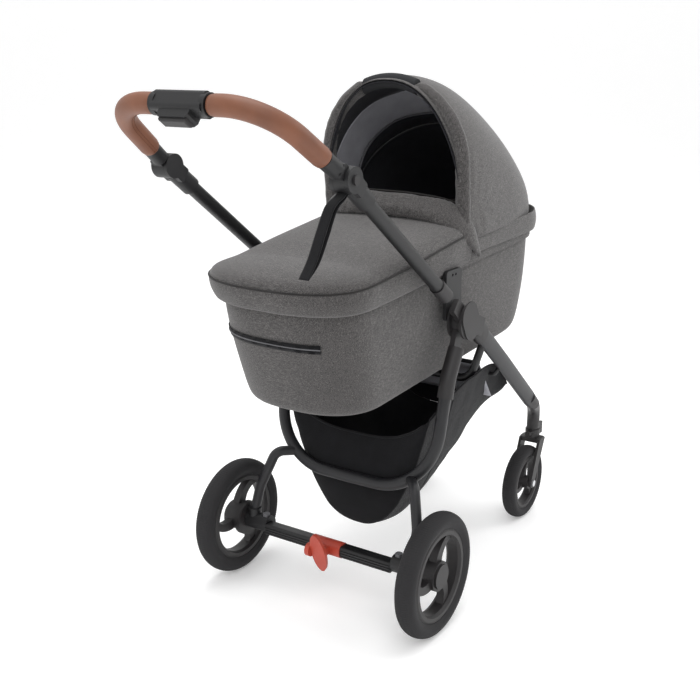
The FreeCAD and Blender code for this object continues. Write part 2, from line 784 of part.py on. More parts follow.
def handle_route(start=handle_tube_start):
    corner_x = handle_hinge_x - handle_inset
    along = (handle_point(corner_x, handle_reach) - handle_point(handle_hinge_x, 0)).normalize()
    first = handle_point(handle_hinge_x, 0) + along * start
    corner = handle_point(corner_x, handle_reach)
    return [first, corner, V(-corner.x, corner.y, corner.z), V(-first.x, first.y, first.z)]


def handlebar_tube():
    return bent_rod(handle_route(), [handle_bend_radius, handle_bend_radius], handle_tube_radius)


def grip():
    points = handle_route(grip_start)
    radii = [handle_bend_radius, handle_bend_radius]
    sleeve = bent_rod(points, radii, grip_radius).cut(
        bent_rod(handle_route(), radii, handle_tube_radius + socket_gap))
    low = handle_point(housing_half + 2, 0)
    return sleeve.common(block((low.x, 0, 800), (400, 600, 1400)))


def handle_housing():
    # a rounded case on the middle of the bar with a raised collar at each end
    y = handle_reach
    case = soft_block((-housing_half + 6, y - 19, -19), (housing_half - 6, y + 19, 19), 9.0, V(1, 0, 0))
    collars = [disc(-housing_half, -housing_half + 12, y, 0, housing_radius_big),
               disc(housing_half - 12, housing_half, y, 0, housing_radius_big)]
    belly = block((-trigger_half - 4, y - 17, belly_low), (trigger_half + 4, y + belly_reach, -15))
    belly = belly.makeChamfer(6.0, [e for e in belly.Edges
                                    if abs(e.tangentAt(e.FirstParameter).y) > 0.99
                                    and e.CenterOfMass.z < belly_low + 3])
    trigger_room = block((-trigger_half - slip, y - 12 - slip, -50),
                         (trigger_half + slip, y + 10 + slip, -handle_tube_radius - 8 - slip))
    slider_room = block((-8 - slip, y - 30, -8 - slip), (8 + slider_travel + slip, y - 15 - slip, 8 + slip))
    bar = disc(-200, 200, y, 0, handle_tube_radius + socket_gap)
    body = fused([case, belly] + collars).cut(bar).cut(trigger_room).cut(slider_room)
    return on_handle(body)


def fold_trigger():
    # squeezed up into the case to let the frame fold
    y = handle_reach
    body = block((-trigger_half, y - 12, trigger_low),
                 (trigger_half, y + 10, -handle_tube_radius - 8 - trigger_travel - slip))
    body = body.makeFillet(4.0, [e for e in body.Edges if e.CenterOfMass.z < trigger_low + 0.1])
    return on_handle(body)


def fold_slider():
    # safety catch on the near side of the case, pushed sideways first
    y = handle_reach
    body = soft_block((-8, y - 23, -8), (8, y - 15 - 2 * slip, 8), 2.0, V(0, 1, 0))
    return on_handle(body)


strap_width = 24.0
strap_thickness = 4.0
strap_x = -204.0


def wrist_strap():
    # a doubled loop of webbing that hangs from the right hinge's lower cheeks
    points = [V(strap_x, 238, 956), V(strap_x, 254, 951), V(strap_x, 287, 940), V(strap_x, 321, 870),
              V(strap_x, 366, 825)]
    along = (points[1] - points[0]).normalize()
    across = V(1, 0, 0).cross(along)
    corners = []
    for side, up in ((-1, -1), (1, -1), (1, 1), (-1, 1)):
        corners.append(points[0] + V(side * strap_width / 2, 0, 0) + across * (up * strap_thickness / 2))
    band = swept(route(points, [12, 16, 60]), Part.makePolygon(corners + [corners[0]]))
    return band.cut(disc(-260, -150, handle_hinge_y, handle_hinge_z, hinge_disc_radius + socket_gap))


# ---------------------------------------------------------------- carrycot
def cot_outline(half_width, foot_y, head_y, z, foot_depth=118.0, head_depth=160.0):
    # straight sides with a squarish foot end and a rounder head end
    def end_curve(middle_y, depth, power, start_sign):
        points = []
        for i in range(25):
            a = math.pi * i / 24
            c = math.cos(a) * start_sign
            x = half_width * math.copysign(abs(c) ** (2 / power), c)
            points.append(V(x, middle_y + depth * math.sin(a) ** (2 / power), z))
        curve = Part.BSplineCurve()
        way = V(0, 1, 0) if depth > 0 else V(0, -1, 0)
        curve.interpolate(Points=points, InitialTangent=way, FinalTangent=way * -1)
        return curve.toShape()

    foot_start = foot_y - foot_depth
    head_start = head_y + head_depth
    foot = end_curve(foot_start, foot_depth, 2.5, 1)
    head = end_curve(head_start, -head_depth, 2.3, -1)
    right = Part.LineSegment(V(-half_width, foot_start, z), V(-half_width, head_start, z)).toShape()
    left = Part.LineSegment(V(half_width, head_start, z), V(half_width, foot_start, z)).toShape()
    return Part.Wire([foot, right, head, left])


# level, side, foot and head of the tub below the rim: z above the floor, and how far each is drawn in
tub_levels = [(0.0, 34.0, 78.0, 66.0), (9.0, 20.0, 54.0, 40.0), (110.0, 7.0, 24.0, 8.0)]
rim_low_z = cot_rim_z - rim_height


def tub_solid(inset, floor_z, top_z):
    sections = []
    for level, side, foot, head in tub_levels:
        sections.append(cot_outline(cot_half_width - side - inset, cot_foot_y - foot - inset,
                                    cot_head_y + head + inset, floor_z + level))
    sections.append(cot_outline(cot_half_width - inset, cot_foot_y - inset, cot_head_y + inset,
                                rim_low_z - 14))
    lower = Part.makeLoft(sections, True, False)
    top = Part.Face(cot_outline(cot_half_width - inset, cot_foot_y - inset, cot_head_y + inset,
                                rim_low_z - 14)).extrude(V(0, 0, top_z - rim_low_z + 14))
    return lower.fuse(top).removeSplitter()


def cot_place(shape):
    return turned(shape, cot_tilt, cot_tilt_y, cot_tilt_z)


def cot_tub():
    outer = tub_solid(0, cot_floor_z, cot_rim_z)
    inner = tub_solid(cot_wall, cot_floor_z + cot_floor_thickness, cot_rim_z + 10)
    return cot_place(outer.cut(inner))


def cot_rim():
    # stiff band round the top of the tub, with the pins that the hood's bows turn on
    inner = Part.Face(cot_outline(cot_half_width + rim_gap, cot_foot_y + rim_gap, cot_head_y - rim_gap,
                                  rim_low_z))
    low = cot_outline(cot_half_width + rim_depth - 3, cot_foot_y + rim_depth - 3,
                      cot_head_y - rim_depth + 3, rim_low_z)
    high = cot_outline(cot_half_width + rim_depth, cot_foot_y + rim_depth + 7, cot_head_y - rim_depth - 7,
                       cot_rim_z)
    band = Part.makeLoft([low, high], True, True).cut(inner.extrude(V(0, 0, rim_height)))
    rim_top = cot_rim_z + (cot_tilt_y - hood_hinge_y) * math.tan(math.radians(-cot_tilt))
    ear_low = (ear_x - ear_thickness, hood_hinge_y - 12, rim_top + 1.5)
    ear = soft_block(ear_low, (ear_x, hood_hinge_y + 12, hood_hinge_z + 12), 2.0, V(1, 0, 0))
    foot = block(ear_low, (cot_half_width + 6, hood_hinge_y + 12, rim_top + 6))
    heel = block((cot_half_width + 2 * slip, hood_hinge_y - 12, rim_top - 2),
                 (cot_half_width + 6, hood_hinge_y + 12, rim_top + 6))
    pin = disc(ear_x - 1, cot_half_width + 8, hood_hinge_y, hood_hinge_z, hood_pin_radius)
    side = fused([ear, foot, heel, pin])
    return fused([cot_place(band), side, mirrored(side)])


def cot_lug():
    # a block on the cot's side that drops into the seat on the frame
    low_z = adapter_seat_z + slip
    arm = block((cot_half_width + slip, adapter_y - adapter_seat_half + slip, low_z),
                (adapter_x - slip, adapter_y + adapter_seat_half - slip, low_z + lug_height))
    arm = arm.makeFillet(3.0, [e for e in arm.Edges if e.CenterOfMass.x > adapter_x - 1])
    flange = soft_block((cot_half_width + slip, adapter_y - 34, low_z),
                        (cot_half_width + lug_flange, adapter_y + 34, low_z + 43), 8.0, V(1, 0, 0))
    return fused([arm, flange])


def mattress():
    level, side, foot, head = tub_levels[0]
    drawn_in = cot_wall + 1.0
    base = cot_outline(cot_half_width - side - drawn_in, cot_foot_y - foot - drawn_in,
                       cot_head_y + head + drawn_in, cot_floor_z + cot_floor_thickness + slip)
    return cot_place(Part.Face(base).extrude(V(0, 0, mattress_height)))


def arch_curve(half, base_z, height, y, power):
    points = []
    for i in range(17):
        a = math.pi * i / 16
        c = math.cos(a)
        x = half * math.copysign(abs(c) ** (2 / power), c)
        points.append(V(x, y, base_z + height * math.sin(a) ** (2 / power)))
    curve = Part.BSplineCurve()
    curve.interpolate(points)
    return curve.toShape(), points


def arch_band(half, base_z, height, y, thickness, power):
    # closed section of a curved sheet that crosses the cot from rim to rim
    outer, outer_points = arch_curve(half, base_z, height, y, power)
    inner, inner_points = arch_curve(half - thickness, base_z, height - thickness, y, power)
    right = Part.LineSegment(outer_points[-1], inner_points[-1]).toShape()
    left = Part.LineSegment(inner_points[0], outer_points[0]).toShape()
    return Part.Wire([outer, right, inner, left])


apron_base_z = cot_rim_z + slip
apron_thickness = 8.0
# shares of the apron's length from its head edge, of its half width and of its crown
apron_stations = [(0.0, 1.0, 1.0), (0.27, 1.0, 0.86), (0.55, 1.0, 0.64), (0.78, 0.975, 0.42),
                  (0.92, 0.87, 0.27), (0.985, 0.66, 0.17)]


def apron_band(share, width_share, crown_share, extra, thickness):
    length = cot_foot_y + rim_depth + 4 - apron_head_y
    half = cot_half_width + rim_depth
    return arch_band(half * width_share, apron_base_z, apron_crown * crown_share + extra,
                     apron_head_y + length * share, thickness, 2.0)


def apron():
    # crowned cover over the foot end, with a padded flap folded back on its head edge
    cover = Part.makeLoft([apron_band(s, w, c, 0, apron_thickness) for s, w, c in apron_stations],
                          True, False)
    flap_share = flap_length / (cot_foot_y - apron_head_y)
    flap = Part.makeLoft([apron_band(-0.02, 1.02, 1.0, flap_thickness, flap_thickness),
                          apron_band(flap_share, 1.02, 0.9, flap_thickness, flap_thickness)], True, True)
    return cot_place(fused([cover, flap]))


hood_thickness = 7.0
hood_base_z = cot_rim_z + slip
# y, half width beyond the cot's, height above the rim and squareness of the hood's sections
hood_stations = [(-286.0, 17.0, 370.0, 3.0), (-355.0, 17.0, 364.0, 2.8), (-455.0, 16.0, 330.0, 2.4),
                 (-555.0, 12.0, 262.0, 2.2), (-635.0, -4.0, 182.0, 2.2), (-695.0, -34.0, 100.0, 2.2),
                 (-734.0, -86.0, 40.0, 2.2)]


def hood_fabric():
    bands = [arch_band(cot_half_width + extra, hood_base_z, height, y, hood_thickness, power)
             for y, extra, height, power in hood_stations]
    return cot_place(Part.makeLoft(bands, True, False))


ear_x = cot_half_width - 14.0
ear_thickness = 5.0
rear_boss_half = 3.2
rear_boss_x = ear_x + slip + rear_boss_half
front_boss_half = 6.5


def hood_bow_path(half, height, leg_x):
    straight = height - half
    legs = [Part.LineSegment(V(leg_x, 0, 0), V(half, 0, straight)).toShape(),
            Part.LineSegment(V(-half, 0, straight), V(-leg_x, 0, 0)).toShape()]
    arc = Part.Arc(V(half, 0, straight), V(0, 0, height), V(-half, 0, straight)).toShape()
    return Part.Wire([legs[0], arc, legs[1]])


def hood_bow(half, height, lean, radius, leg_x, boss_half):
    # two legs and a round top, turned about the hood's hinge line
    path = hood_bow_path(half, height, leg_x)
    bow = swept(path, round_section(V(leg_x, 0, 0), V(half - leg_x, 0, height - half), radius))
    bosses = [disc(leg_x - boss_half, leg_x + boss_half, 0, 0, hood_boss_radius),
              disc(-leg_x - boss_half, -leg_x + boss_half, 0, 0, hood_boss_radius)]
    bow = fused([bow] + bosses)
    bow = bow.cut(disc(-leg_x - 20, -leg_x + boss_half + 0.01, 0, 0, hood_pin_radius + pin_gap))
    bow = bow.cut(disc(leg_x - boss_half - 0.01, leg_x + 20, 0, 0, hood_pin_radius + pin_gap))
    return moved(turned(bow, -lean), 0, hood_hinge_y, hood_hinge_z)


def carry_grip():
    path = hood_bow_path(hood_bow_half, hood_bow_height, hood_bow_half)
    start = V(hood_bow_half, 0, 0)
    outer = swept(path, round_section(start, V(0, 0, 1), carry_grip_radius))
    core = swept(path, round_section(start, V(0, 0, 1), hood_bow_radius + socket_gap))
    middle = block((-carry_grip_half, -50, 200), (carry_grip_half, 50, 500))
    return moved(turned(outer.cut(core).common(middle), -hood_bow_lean), 0, hood_hinge_y, hood_hinge_z)


# ---------------------------------------------------------------- the pieces
def export(name, shape):
    placed = shape.copy()
    placed.translate(V(0, rear_axle_y, 0))
    placed.exportStep("parts/" + name + ".step")


def build():
    for side in ("left", "right"):
        rear_wheel(side)
        front_wheel(side)
    one_each_side = {"front_leg": front_leg, "fold_hub": fold_hub, "caster_housing": caster_housing,
                     "caster_fork": caster_fork, "swivel_lock": swivel_lock,
                     "wheel_release": wheel_release, "hinge_button": hinge_button}
    for name, make in one_each_side.items():
        shape = make()
        parts[name + "_left"] = shape
        parts[name + "_right"] = mirrored(shape)
    pairs = {"hub_covers": hub_cover, "hub_bolts": hub_bolt, "cot_adapters": cot_adapter,
             "rear_sleeves": rear_sleeve, "axle_arms": axle_arm, "axle_housings": axle_housing,
             "push_tubes": push_tube, "push_shoes": push_shoe, "handle_hinges_lower": hinge_lower,
             "handle_hinges_upper": hinge_upper, "handle_grips": grip, "cot_lugs": cot_lug}
    for name, make in pairs.items():
        parts[name] = both_sides(make())
    parts["cross_brace"] = cross_brace()
    parts["basket"] = basket()
    parts["basket_bar"] = basket_bar()
    parts["rear_leg_frame"] = rear_leg_frame()
    parts["rear_axle_beam"] = axle_beam()
    parts["brake_pedal"] = brake_pedal()
    parts["brake_pedal_disc"] = pedal_disc()
    parts["handlebar_tube"] = handlebar_tube()
    parts["handle_housing"] = handle_housing()
    parts["fold_trigger"] = fold_trigger()
    parts["fold_slider"] = fold_slider()
    parts["wrist_strap"] = wrist_strap()
    parts["cot_tub"] = cot_tub()
    parts["cot_rim"] = cot_rim()
    parts["mattress"] = mattress()
    parts["apron"] = apron()
    parts["hood_fabric"] = hood_fabric()
    parts["hood_front_bow"] = hood_bow(hood_bow_half, hood_bow_height, hood_bow_lean, hood_bow_radius,
                                       cot_half_width + 1.0, front_boss_half)
    parts["hood_rear_bow"] = hood_bow(rear_boss_x, rear_bow_height, rear_bow_lean, rear_bow_radius,
                                      rear_boss_x, rear_boss_half)
    parts["carry_grip"] = carry_grip()


build()
os.makedirs("parts", exist_ok=True)
for name, shape in parts.items():
    export(name, shape)
print(len(parts), "nodes")
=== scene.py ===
import json
import math
import bpy
import numpy as np
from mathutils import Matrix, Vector


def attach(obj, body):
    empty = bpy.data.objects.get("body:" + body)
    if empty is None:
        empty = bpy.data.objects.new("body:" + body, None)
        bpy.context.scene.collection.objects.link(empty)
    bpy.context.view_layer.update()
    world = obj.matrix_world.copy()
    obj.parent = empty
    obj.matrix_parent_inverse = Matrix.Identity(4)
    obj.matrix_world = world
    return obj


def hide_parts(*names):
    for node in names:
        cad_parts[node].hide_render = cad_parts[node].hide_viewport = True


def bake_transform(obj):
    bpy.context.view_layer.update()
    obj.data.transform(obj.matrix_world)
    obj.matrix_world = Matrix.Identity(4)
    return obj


# Pram with a carrycot. Metres, Z up, it travels towards -Y and the handle is at +Y.
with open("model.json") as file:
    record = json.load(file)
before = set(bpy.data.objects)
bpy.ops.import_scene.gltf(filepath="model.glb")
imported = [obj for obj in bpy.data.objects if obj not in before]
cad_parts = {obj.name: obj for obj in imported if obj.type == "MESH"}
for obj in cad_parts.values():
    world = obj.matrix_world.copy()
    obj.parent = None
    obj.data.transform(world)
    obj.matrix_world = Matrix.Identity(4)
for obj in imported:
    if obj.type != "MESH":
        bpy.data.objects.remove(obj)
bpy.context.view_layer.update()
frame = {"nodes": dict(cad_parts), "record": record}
cad = frame["nodes"]
print("frame loaded:", len(cad), "nodes")

rearAxleY = 0.14663
cotPivot = Vector((0, -0.155 + rearAxleY, 0.655))
cotTilt = math.radians(-3)


def onCot(x, y, z):
    # y and z as the cot is drawn level, y from the rear axle; then it is tipped head-up about cotPivot
    dy = y - cotPivot.y + rearAxleY
    dz = z - cotPivot.z
    return Vector((x, cotPivot.y + dy * math.cos(cotTilt) - dz * math.sin(cotTilt),
                   cotPivot.z + dy * math.sin(cotTilt) + dz * math.cos(cotTilt)))


# ---- small helpers
def linear(colour):
    channels = [int(colour[i:i + 2], 16) / 255 for i in (1, 3, 5)]
    return tuple(c / 12.92 if c <= 0.04045 else ((c + 0.055) / 1.055) ** 2.4 for c in channels) + (1,)


def addNode(tree, kind, settings=None, links=None):
    node = tree.nodes.new(kind)
    for name, value in (settings or {}).items():
        if isinstance(name, int) or name in node.inputs:
            node.inputs[name].default_value = value
        else:
            setattr(node, name, value)
    for name, source in (links or {}).items():
        tree.links.new(source, node.inputs[name])
    return node


def newMaterial(name, **settings):
    material = bpy.data.materials.new(name)
    material.use_nodes = True
    tree = material.node_tree
    shader = tree.nodes["Principled BSDF"]
    for socket, value in settings.items():
        shader.inputs[socket.replace("_", " ")].default_value = value
    return material, tree, shader


def ramp(tree, factor, stops):
    node = addNode(tree, "ShaderNodeValToRGB", links={"Fac": factor})
    elements = node.color_ramp.elements
    while len(elements) < len(stops):
        elements.new(0.5)
    for element, (place, colour) in zip(elements, stops):
        element.position = place
        element.color = linear(colour)
    return node.outputs["Color"]


def pickOnly(piece):
    if bpy.context.object and bpy.context.object.mode != "OBJECT":
        bpy.ops.object.mode_set(mode="OBJECT")
    bpy.ops.object.select_all(action="DESELECT")
    piece.select_set(True)
    bpy.context.view_layer.objects.active = piece


def smoothStep(low, high, value):
    t = min(1.0, max(0.0, (value - low) / (high - low)))
    return t * t * (3 - 2 * t)


def along(values, t):
    # a smooth curve through evenly spaced values, t from 0 to 1
    n = len(values) - 1
    at = min(max(t, 0.0), 1.0) * n
    i = min(int(at), n - 1)
    f = at - i
    before = values[max(i - 1, 0)]
    a = values[i]
    b = values[i + 1]
    after = values[min(i + 2, n)]
    m1 = (b - before) / 2
    m2 = (after - a) / 2
    return (a * (2 * f ** 3 - 3 * f ** 2 + 1) + m1 * (f ** 3 - 2 * f ** 2 + f)
            + b * (3 * f ** 2 - 2 * f ** 3) + m2 * (f ** 3 - f ** 2))


def gridSheet(name, across, alongCount, place, closed=False, outFrom=None):
    # a flat grid whose points are laid on a curved surface; closed joins its first and last columns
    bpy.ops.object.select_all(action="DESELECT")
    bpy.ops.mesh.primitive_grid_add(x_subdivisions=across, y_subdivisions=alongCount, size=2)
    piece = bpy.context.object
    piece.name = name
    piece.data.name = name
    for vertex in piece.data.vertices:
        vertex.co = place((vertex.co.x + 1) / 2, (vertex.co.y + 1) / 2)
    bpy.ops.object.mode_set(mode="EDIT")
    bpy.ops.mesh.select_all(action="SELECT")
    if closed:
        bpy.ops.mesh.remove_doubles(threshold=0.00005)
    bpy.ops.mesh.normals_make_consistent(inside=False)
    bpy.ops.object.mode_set(mode="OBJECT")
    if outFrom is not None:
        centre = Vector(outFrom)
        facing = sum(face.area * face.normal.dot(face.center - centre) for face in piece.data.polygons)
        if facing < 0:
            piece.data.flip_normals()
    return piece


def useModifier(piece, kind, **settings):
    pickOnly(piece)
    modifier = piece.modifiers.new(kind.title(), kind)
    for name, value in settings.items():
        setattr(modifier, name, value)
    bpy.ops.object.modifier_apply(modifier=modifier.name)


def closeEnds(piece):
    pickOnly(piece)
    bpy.ops.object.mode_set(mode="EDIT")
    bpy.ops.mesh.select_all(action="SELECT")
    bpy.ops.mesh.fill_holes(sides=0)
    bpy.ops.mesh.normals_make_consistent(inside=False)
    bpy.ops.object.mode_set(mode="OBJECT")


def thicken(piece, thickness, rounds=1):
    useModifier(piece, "SOLIDIFY", thickness=thickness, offset=-1)
    if rounds:
        useModifier(piece, "SUBSURF", levels=rounds, render_levels=rounds)


def finishPiece(piece, material, body=None, instead=(), angle=None):
    pickOnly(piece)
    if angle is None:
        bpy.ops.object.shade_smooth()
    else:
        bpy.ops.object.shade_smooth_by_angle(angle=math.radians(angle))
    piece.data.materials.clear()
    piece.data.materials.append(material)
    if body:
        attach(piece, body)
    if instead:
        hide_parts(*instead)
    return piece


def tubeAlong(name, points, radius, sides=12, closed=False, smooth=True):
    # a bevelled curve through the points, turned into a mesh
    curve = bpy.data.curves.new(name, "CURVE")
    curve.dimensions = "3D"
    spline = curve.splines.new("NURBS" if smooth else "POLY")
    spline.points.add(len(points) - 1)
    for slot, point in zip(spline.points, points):
        slot.co = (*point, 1)
    if smooth:
        spline.order_u = 3
        spline.use_endpoint_u = not closed
    spline.use_cyclic_u = closed
    curve.bevel_depth = radius
    curve.bevel_resolution = sides // 4
    curve.use_fill_caps = not closed
    curve.resolution_u = 6
    holder = bpy.data.objects.new(name, curve)
    bpy.context.collection.objects.link(holder)
    pickOnly(holder)
    bpy.ops.object.convert(target="MESH")
    piece = bpy.context.object
    bpy.ops.object.mode_set(mode="EDIT")
    bpy.ops.mesh.select_all(action="SELECT")
    bpy.ops.mesh.remove_doubles(threshold=0.00002)
    bpy.ops.mesh.normals_make_consistent(inside=False)
    bpy.ops.object.mode_set(mode="OBJECT")
    return piece


# ---- camera, light and floor
view = {"place": (-1.2056, 1.8707, 1.1910), "turn": 213.74, "down": 16.06, "lens": 53.0}
lensData = bpy.data.cameras.new("camera")
lensData.lens = view["lens"]
lensData.sensor_width = 36
lensData.clip_end = 60
camera = bpy.data.objects.new("camera", lensData)
bpy.context.collection.objects.link(camera)
turn = math.radians(view["turn"])
down = math.radians(view["down"])
back = Vector((math.sin(turn) * math.cos(down), -math.cos(turn) * math.cos(down), math.sin(down)))
camera.location = view["place"]
camera.rotation_euler = back.to_track_quat("Z", "Y").to_euler()
bpy.context.scene.camera = camera
bpy.context.scene.view_settings.view_transform = "Standard"

lights = {"key": ((-1.6, 2.6, 3.4), 2.6, 34), "fill": ((2.8, 2.2, 2.2), 3.0, 12),
          "rim": ((-2.4, -2.6, 2.8), 2.4, 34), "top": ((0.2, 0.0, 4.2), 3.2, 84)}
for name, (place, size, power) in lights.items():
    lamp = bpy.data.lights.new(name, "AREA")
    lamp.shape = "DISK"
    lamp.size = size
    lamp.energy = power
    holder = bpy.data.objects.new(name, lamp)
    bpy.context.collection.objects.link(holder)
    holder.location = place
    holder.rotation_euler = (Vector(place) - Vector((0, 0, 0.6))).to_track_quat("Z", "Y").to_euler()

world = bpy.data.worlds.new("studio")
world.use_nodes = True
world.node_tree.nodes["Background"].inputs["Color"].default_value = (1, 1, 1, 1)
world.node_tree.nodes["Background"].inputs["Strength"].default_value = 0.72
bpy.context.scene.world = world

cove = {"half": 14.0, "near": 6.0, "far": -7.0, "radius": 3.0, "top": 9.0}


def covePlace(u, v):
    # a floor that runs up into the wall behind, turned to face the camera
    flatRun = cove["near"] - cove["far"]
    bend = math.pi / 2 * cove["radius"]
    d = v * (flatRun + bend + cove["top"])
    if d < flatRun:
        away, z = cove["near"] - d, 0.0
    elif d < flatRun + bend:
        a = (d - flatRun) / cove["radius"]
        away, z = cove["far"] - cove["radius"] * math.sin(a), cove["radius"] * (1 - math.cos(a))
    else:
        away, z = cove["far"] - cove["radius"], cove["radius"] + d - flatRun - bend
    side = cove["half"] * (2 * u - 1)
    facing = math.radians(view["turn"])
    return Vector((side * math.cos(facing) + away * math.sin(facing),
                   side * math.sin(facing) - away * math.cos(facing), z))


floor = gridSheet("floor", 8, 90, covePlace)
pickOnly(floor)
bpy.ops.object.shade_smooth()
# the paint glows a little, as a lit backdrop does
floorPaint = newMaterial("matt white floor paint", Base_Color=(0.93, 0.93, 0.93, 1), Roughness=0.85,
                         Emission_Color=(1, 1, 1, 1), Emission_Strength=0.22)[0]
floor.data.materials.append(floorPaint)


# ---- materials
def objectPlace(tree, scale):
    spot = addNode(tree, "ShaderNodeTexCoord")
    mapping = addNode(tree, "ShaderNodeMapping", {"Scale": scale}, {"Vector": spot.outputs["Object"]})
    return mapping.outputs["Vector"]


def addBump(tree, shader, height, strength, depth):
    bump = addNode(tree, "ShaderNodeBump", {"Strength": strength, "Distance": depth}, {"Height": height})
    tree.links.new(bump.outputs[0], shader.inputs["Normal"])


def melangeCloth(name, dark, light, bright):
    # polyester melange: slubby light and dark yarns, about 0.7 mm across and 11 mm long, run along each axis
    material, tree, shader = newMaterial(name, Roughness=0.92, IOR=1.5, Sheen_Weight=0.25,
                                         Sheen_Roughness=0.5)
    shader.inputs["Specular IOR Level"].default_value = 0.25
    streaks = []
    for scale in ((90, 1500, 1500), (1500, 90, 1500), (1400, 1400, 95)):
        yarn = addNode(tree, "ShaderNodeTexNoise", {"Scale": 1.0, "Detail": 3.0, "Roughness": 0.6},
                       {"Vector": objectPlace(tree, scale)})
        streaks.append(yarn.outputs["Fac"])
    pair = addNode(tree, "ShaderNodeMath", {"operation": "ADD"}, {0: streaks[0], 1: streaks[1]})
    total = addNode(tree, "ShaderNodeMath", {"operation": "ADD"}, {0: pair.outputs[0], 1: streaks[2]})
    spread = addNode(tree, "ShaderNodeMapRange", {"From Min": 1.18, "From Max": 1.82},
                     {"Value": total.outputs[0]})
    patch = addNode(tree, "ShaderNodeTexNoise", {"Scale": 1.0, "Detail": 2.0},
                    {"Vector": objectPlace(tree, (9, 9, 9))})
    cloth = ramp(tree, spread.outputs[0], [(0.0, dark), (0.5, light), (1.0, bright)])
    shade = addNode(tree, "ShaderNodeMapRange", {"To Min": 0.9, "To Max": 1.08},
                    {"Value": patch.outputs["Fac"]})
    mixed = addNode(tree, "ShaderNodeVectorMath", {"operation": "SCALE"},
                    {0: cloth, "Scale": shade.outputs[0]})
    tree.links.new(mixed.outputs[0], shader.inputs["Base Color"])
    addBump(tree, shader, total.outputs[0], 0.35, 0.0006)
    return material


def plainCloth(name, colour, lighter, threads, roughness=0.9, sheen=0.1):
    # a plain or twill weave: diagonal ribs with a little unevenness
    material, tree, shader = newMaterial(name, Roughness=roughness, Sheen_Weight=sheen)
    shader.inputs["Specular IOR Level"].default_value = 0.2
    place = objectPlace(tree, (1, 1, 1))
    ribs = addNode(tree, "ShaderNodeTexWave", {"Scale": threads, "Distortion": 0.6, "Detail": 1.0,
                                               "bands_direction": "DIAGONAL"}, {"Vector": place})
    patch = addNode(tree, "ShaderNodeTexNoise", {"Scale": 30.0, "Detail": 4.0}, {"Vector": place})
    both = addNode(tree, "ShaderNodeMath", {"operation": "MULTIPLY"},
                   {0: ribs.outputs["Fac"], 1: patch.outputs["Fac"]})
    tree.links.new(ramp(tree, both.outputs[0], [(0.0, colour), (0.8, lighter)]), shader.inputs["Base Color"])
    addBump(tree, shader, ribs.outputs["Fac"], 0.3, 0.0005)
    return material


def grained(name, colour, grain, roughness, depth=0.00025, wear=None, metallic=0.0, coat=0.0):
    # moulded or sprayed surfaces: a fine even grain and slightly uneven gloss
    material, tree, shader = newMaterial(name, Metallic=metallic, Coat_Weight=coat)
    place = objectPlace(tree, (1, 1, 1))
    speck = addNode(tree, "ShaderNodeTexNoise", {"Scale": grain, "Detail": 2.0}, {"Vector": place})
    cloud = addNode(tree, "ShaderNodeTexNoise", {"Scale": 12.0, "Detail": 3.0}, {"Vector": place})
    tone = ramp(tree, cloud.outputs["Fac"], [(0.3, colour), (0.75, wear or colour)])
    tree.links.new(tone, shader.inputs["Base Color"])
    gloss = addNode(tree, "ShaderNodeMapRange", {"To Min": roughness - 0.06, "To Max": roughness + 0.08},
                    {"Value": cloud.outputs["Fac"]})
    tree.links.new(gloss.outputs[0], shader.inputs["Roughness"])
    addBump(tree, shader, speck.outputs["Fac"], 0.25, depth)
    return material


def stitchedLeather(name, dark, light):
    # vegetable-look cognac leather: a pebbled grain of about 1.6 mm over a cloudy tone
    material, tree, shader = newMaterial(name, Roughness=0.5, IOR=1.45)
    place = objectPlace(tree, (1, 1, 1))
    pebble = addNode(tree, "ShaderNodeTexVoronoi", {"Scale": 620.0, "feature": "SMOOTH_F1"},
                     {"Vector": place})
    cloud = addNode(tree, "ShaderNodeTexNoise", {"Scale": 16.0, "Detail": 5.0}, {"Vector": place})
    tone = ramp(tree, cloud.outputs["Fac"], [(0.25, dark), (0.7, light)])
    tree.links.new(tone, shader.inputs["Base Color"])
    addBump(tree, shader, pebble.outputs["Distance"], 0.3, 0.0004)
    return material


greyMelange = melangeCloth("grey melange polyester", "#201f1f", "#444242", "#7b7876")
liningGrey = plainCloth("pale grey lining taffeta", "#8d8d93", "#b9b9c0", 900, roughness=0.6)
liningBlack = plainCloth("black mesh lining", "#17171b", "#2c2c33", 700, roughness=0.75)
blackTwill = plainCloth("black polyester twill", "#08080a", "#1d1d21", 800)
blackWebbing = plainCloth("black woven webbing", "#0b0b0d", "#1c1c20", 500)
knitWhite = plainCloth("white cotton knit", "#d6d6da", "#f1f1f3", 600)
leather = stitchedLeather("cognac stitched leather", "#6a4230", "#80513a")
blackCoat = grained("black powder-coated aluminium", "#0b0b0d", 1500.0, 0.45, wear="#121214")
charcoalCoat = grained("charcoal powder-coated aluminium", "#17171a", 1500.0, 0.45, wear="#1e1e21")
charcoalPlastic = grained("charcoal moulded nylon", "#1f1d1e", 1300.0, 0.52, wear="#272526")
blackPlastic = grained("black moulded nylon", "#0d0d0f", 1300.0, 0.5, wear="#141416")
greyPlastic = grained("grey moulded nylon", "#58585b", 1300.0, 0.5, wear="#66666a")
redPlastic = grained("red moulded nylon", "#a63726", 1300.0, 0.42, wear="#b84632")
steel = grained("zinc-plated steel", "#b9babd", 900.0, 0.32, metallic=1.0, wear="#cfd0d3")
rubberTyre = grained("black foam rubber tyre", "#1c1b1d", 700.0, 0.82, depth=0.0006, wear="#242325")
foamGrip = grained("black closed-cell foam", "#141518", 500.0, 0.85, depth=0.0006, wear="#1b1c20")

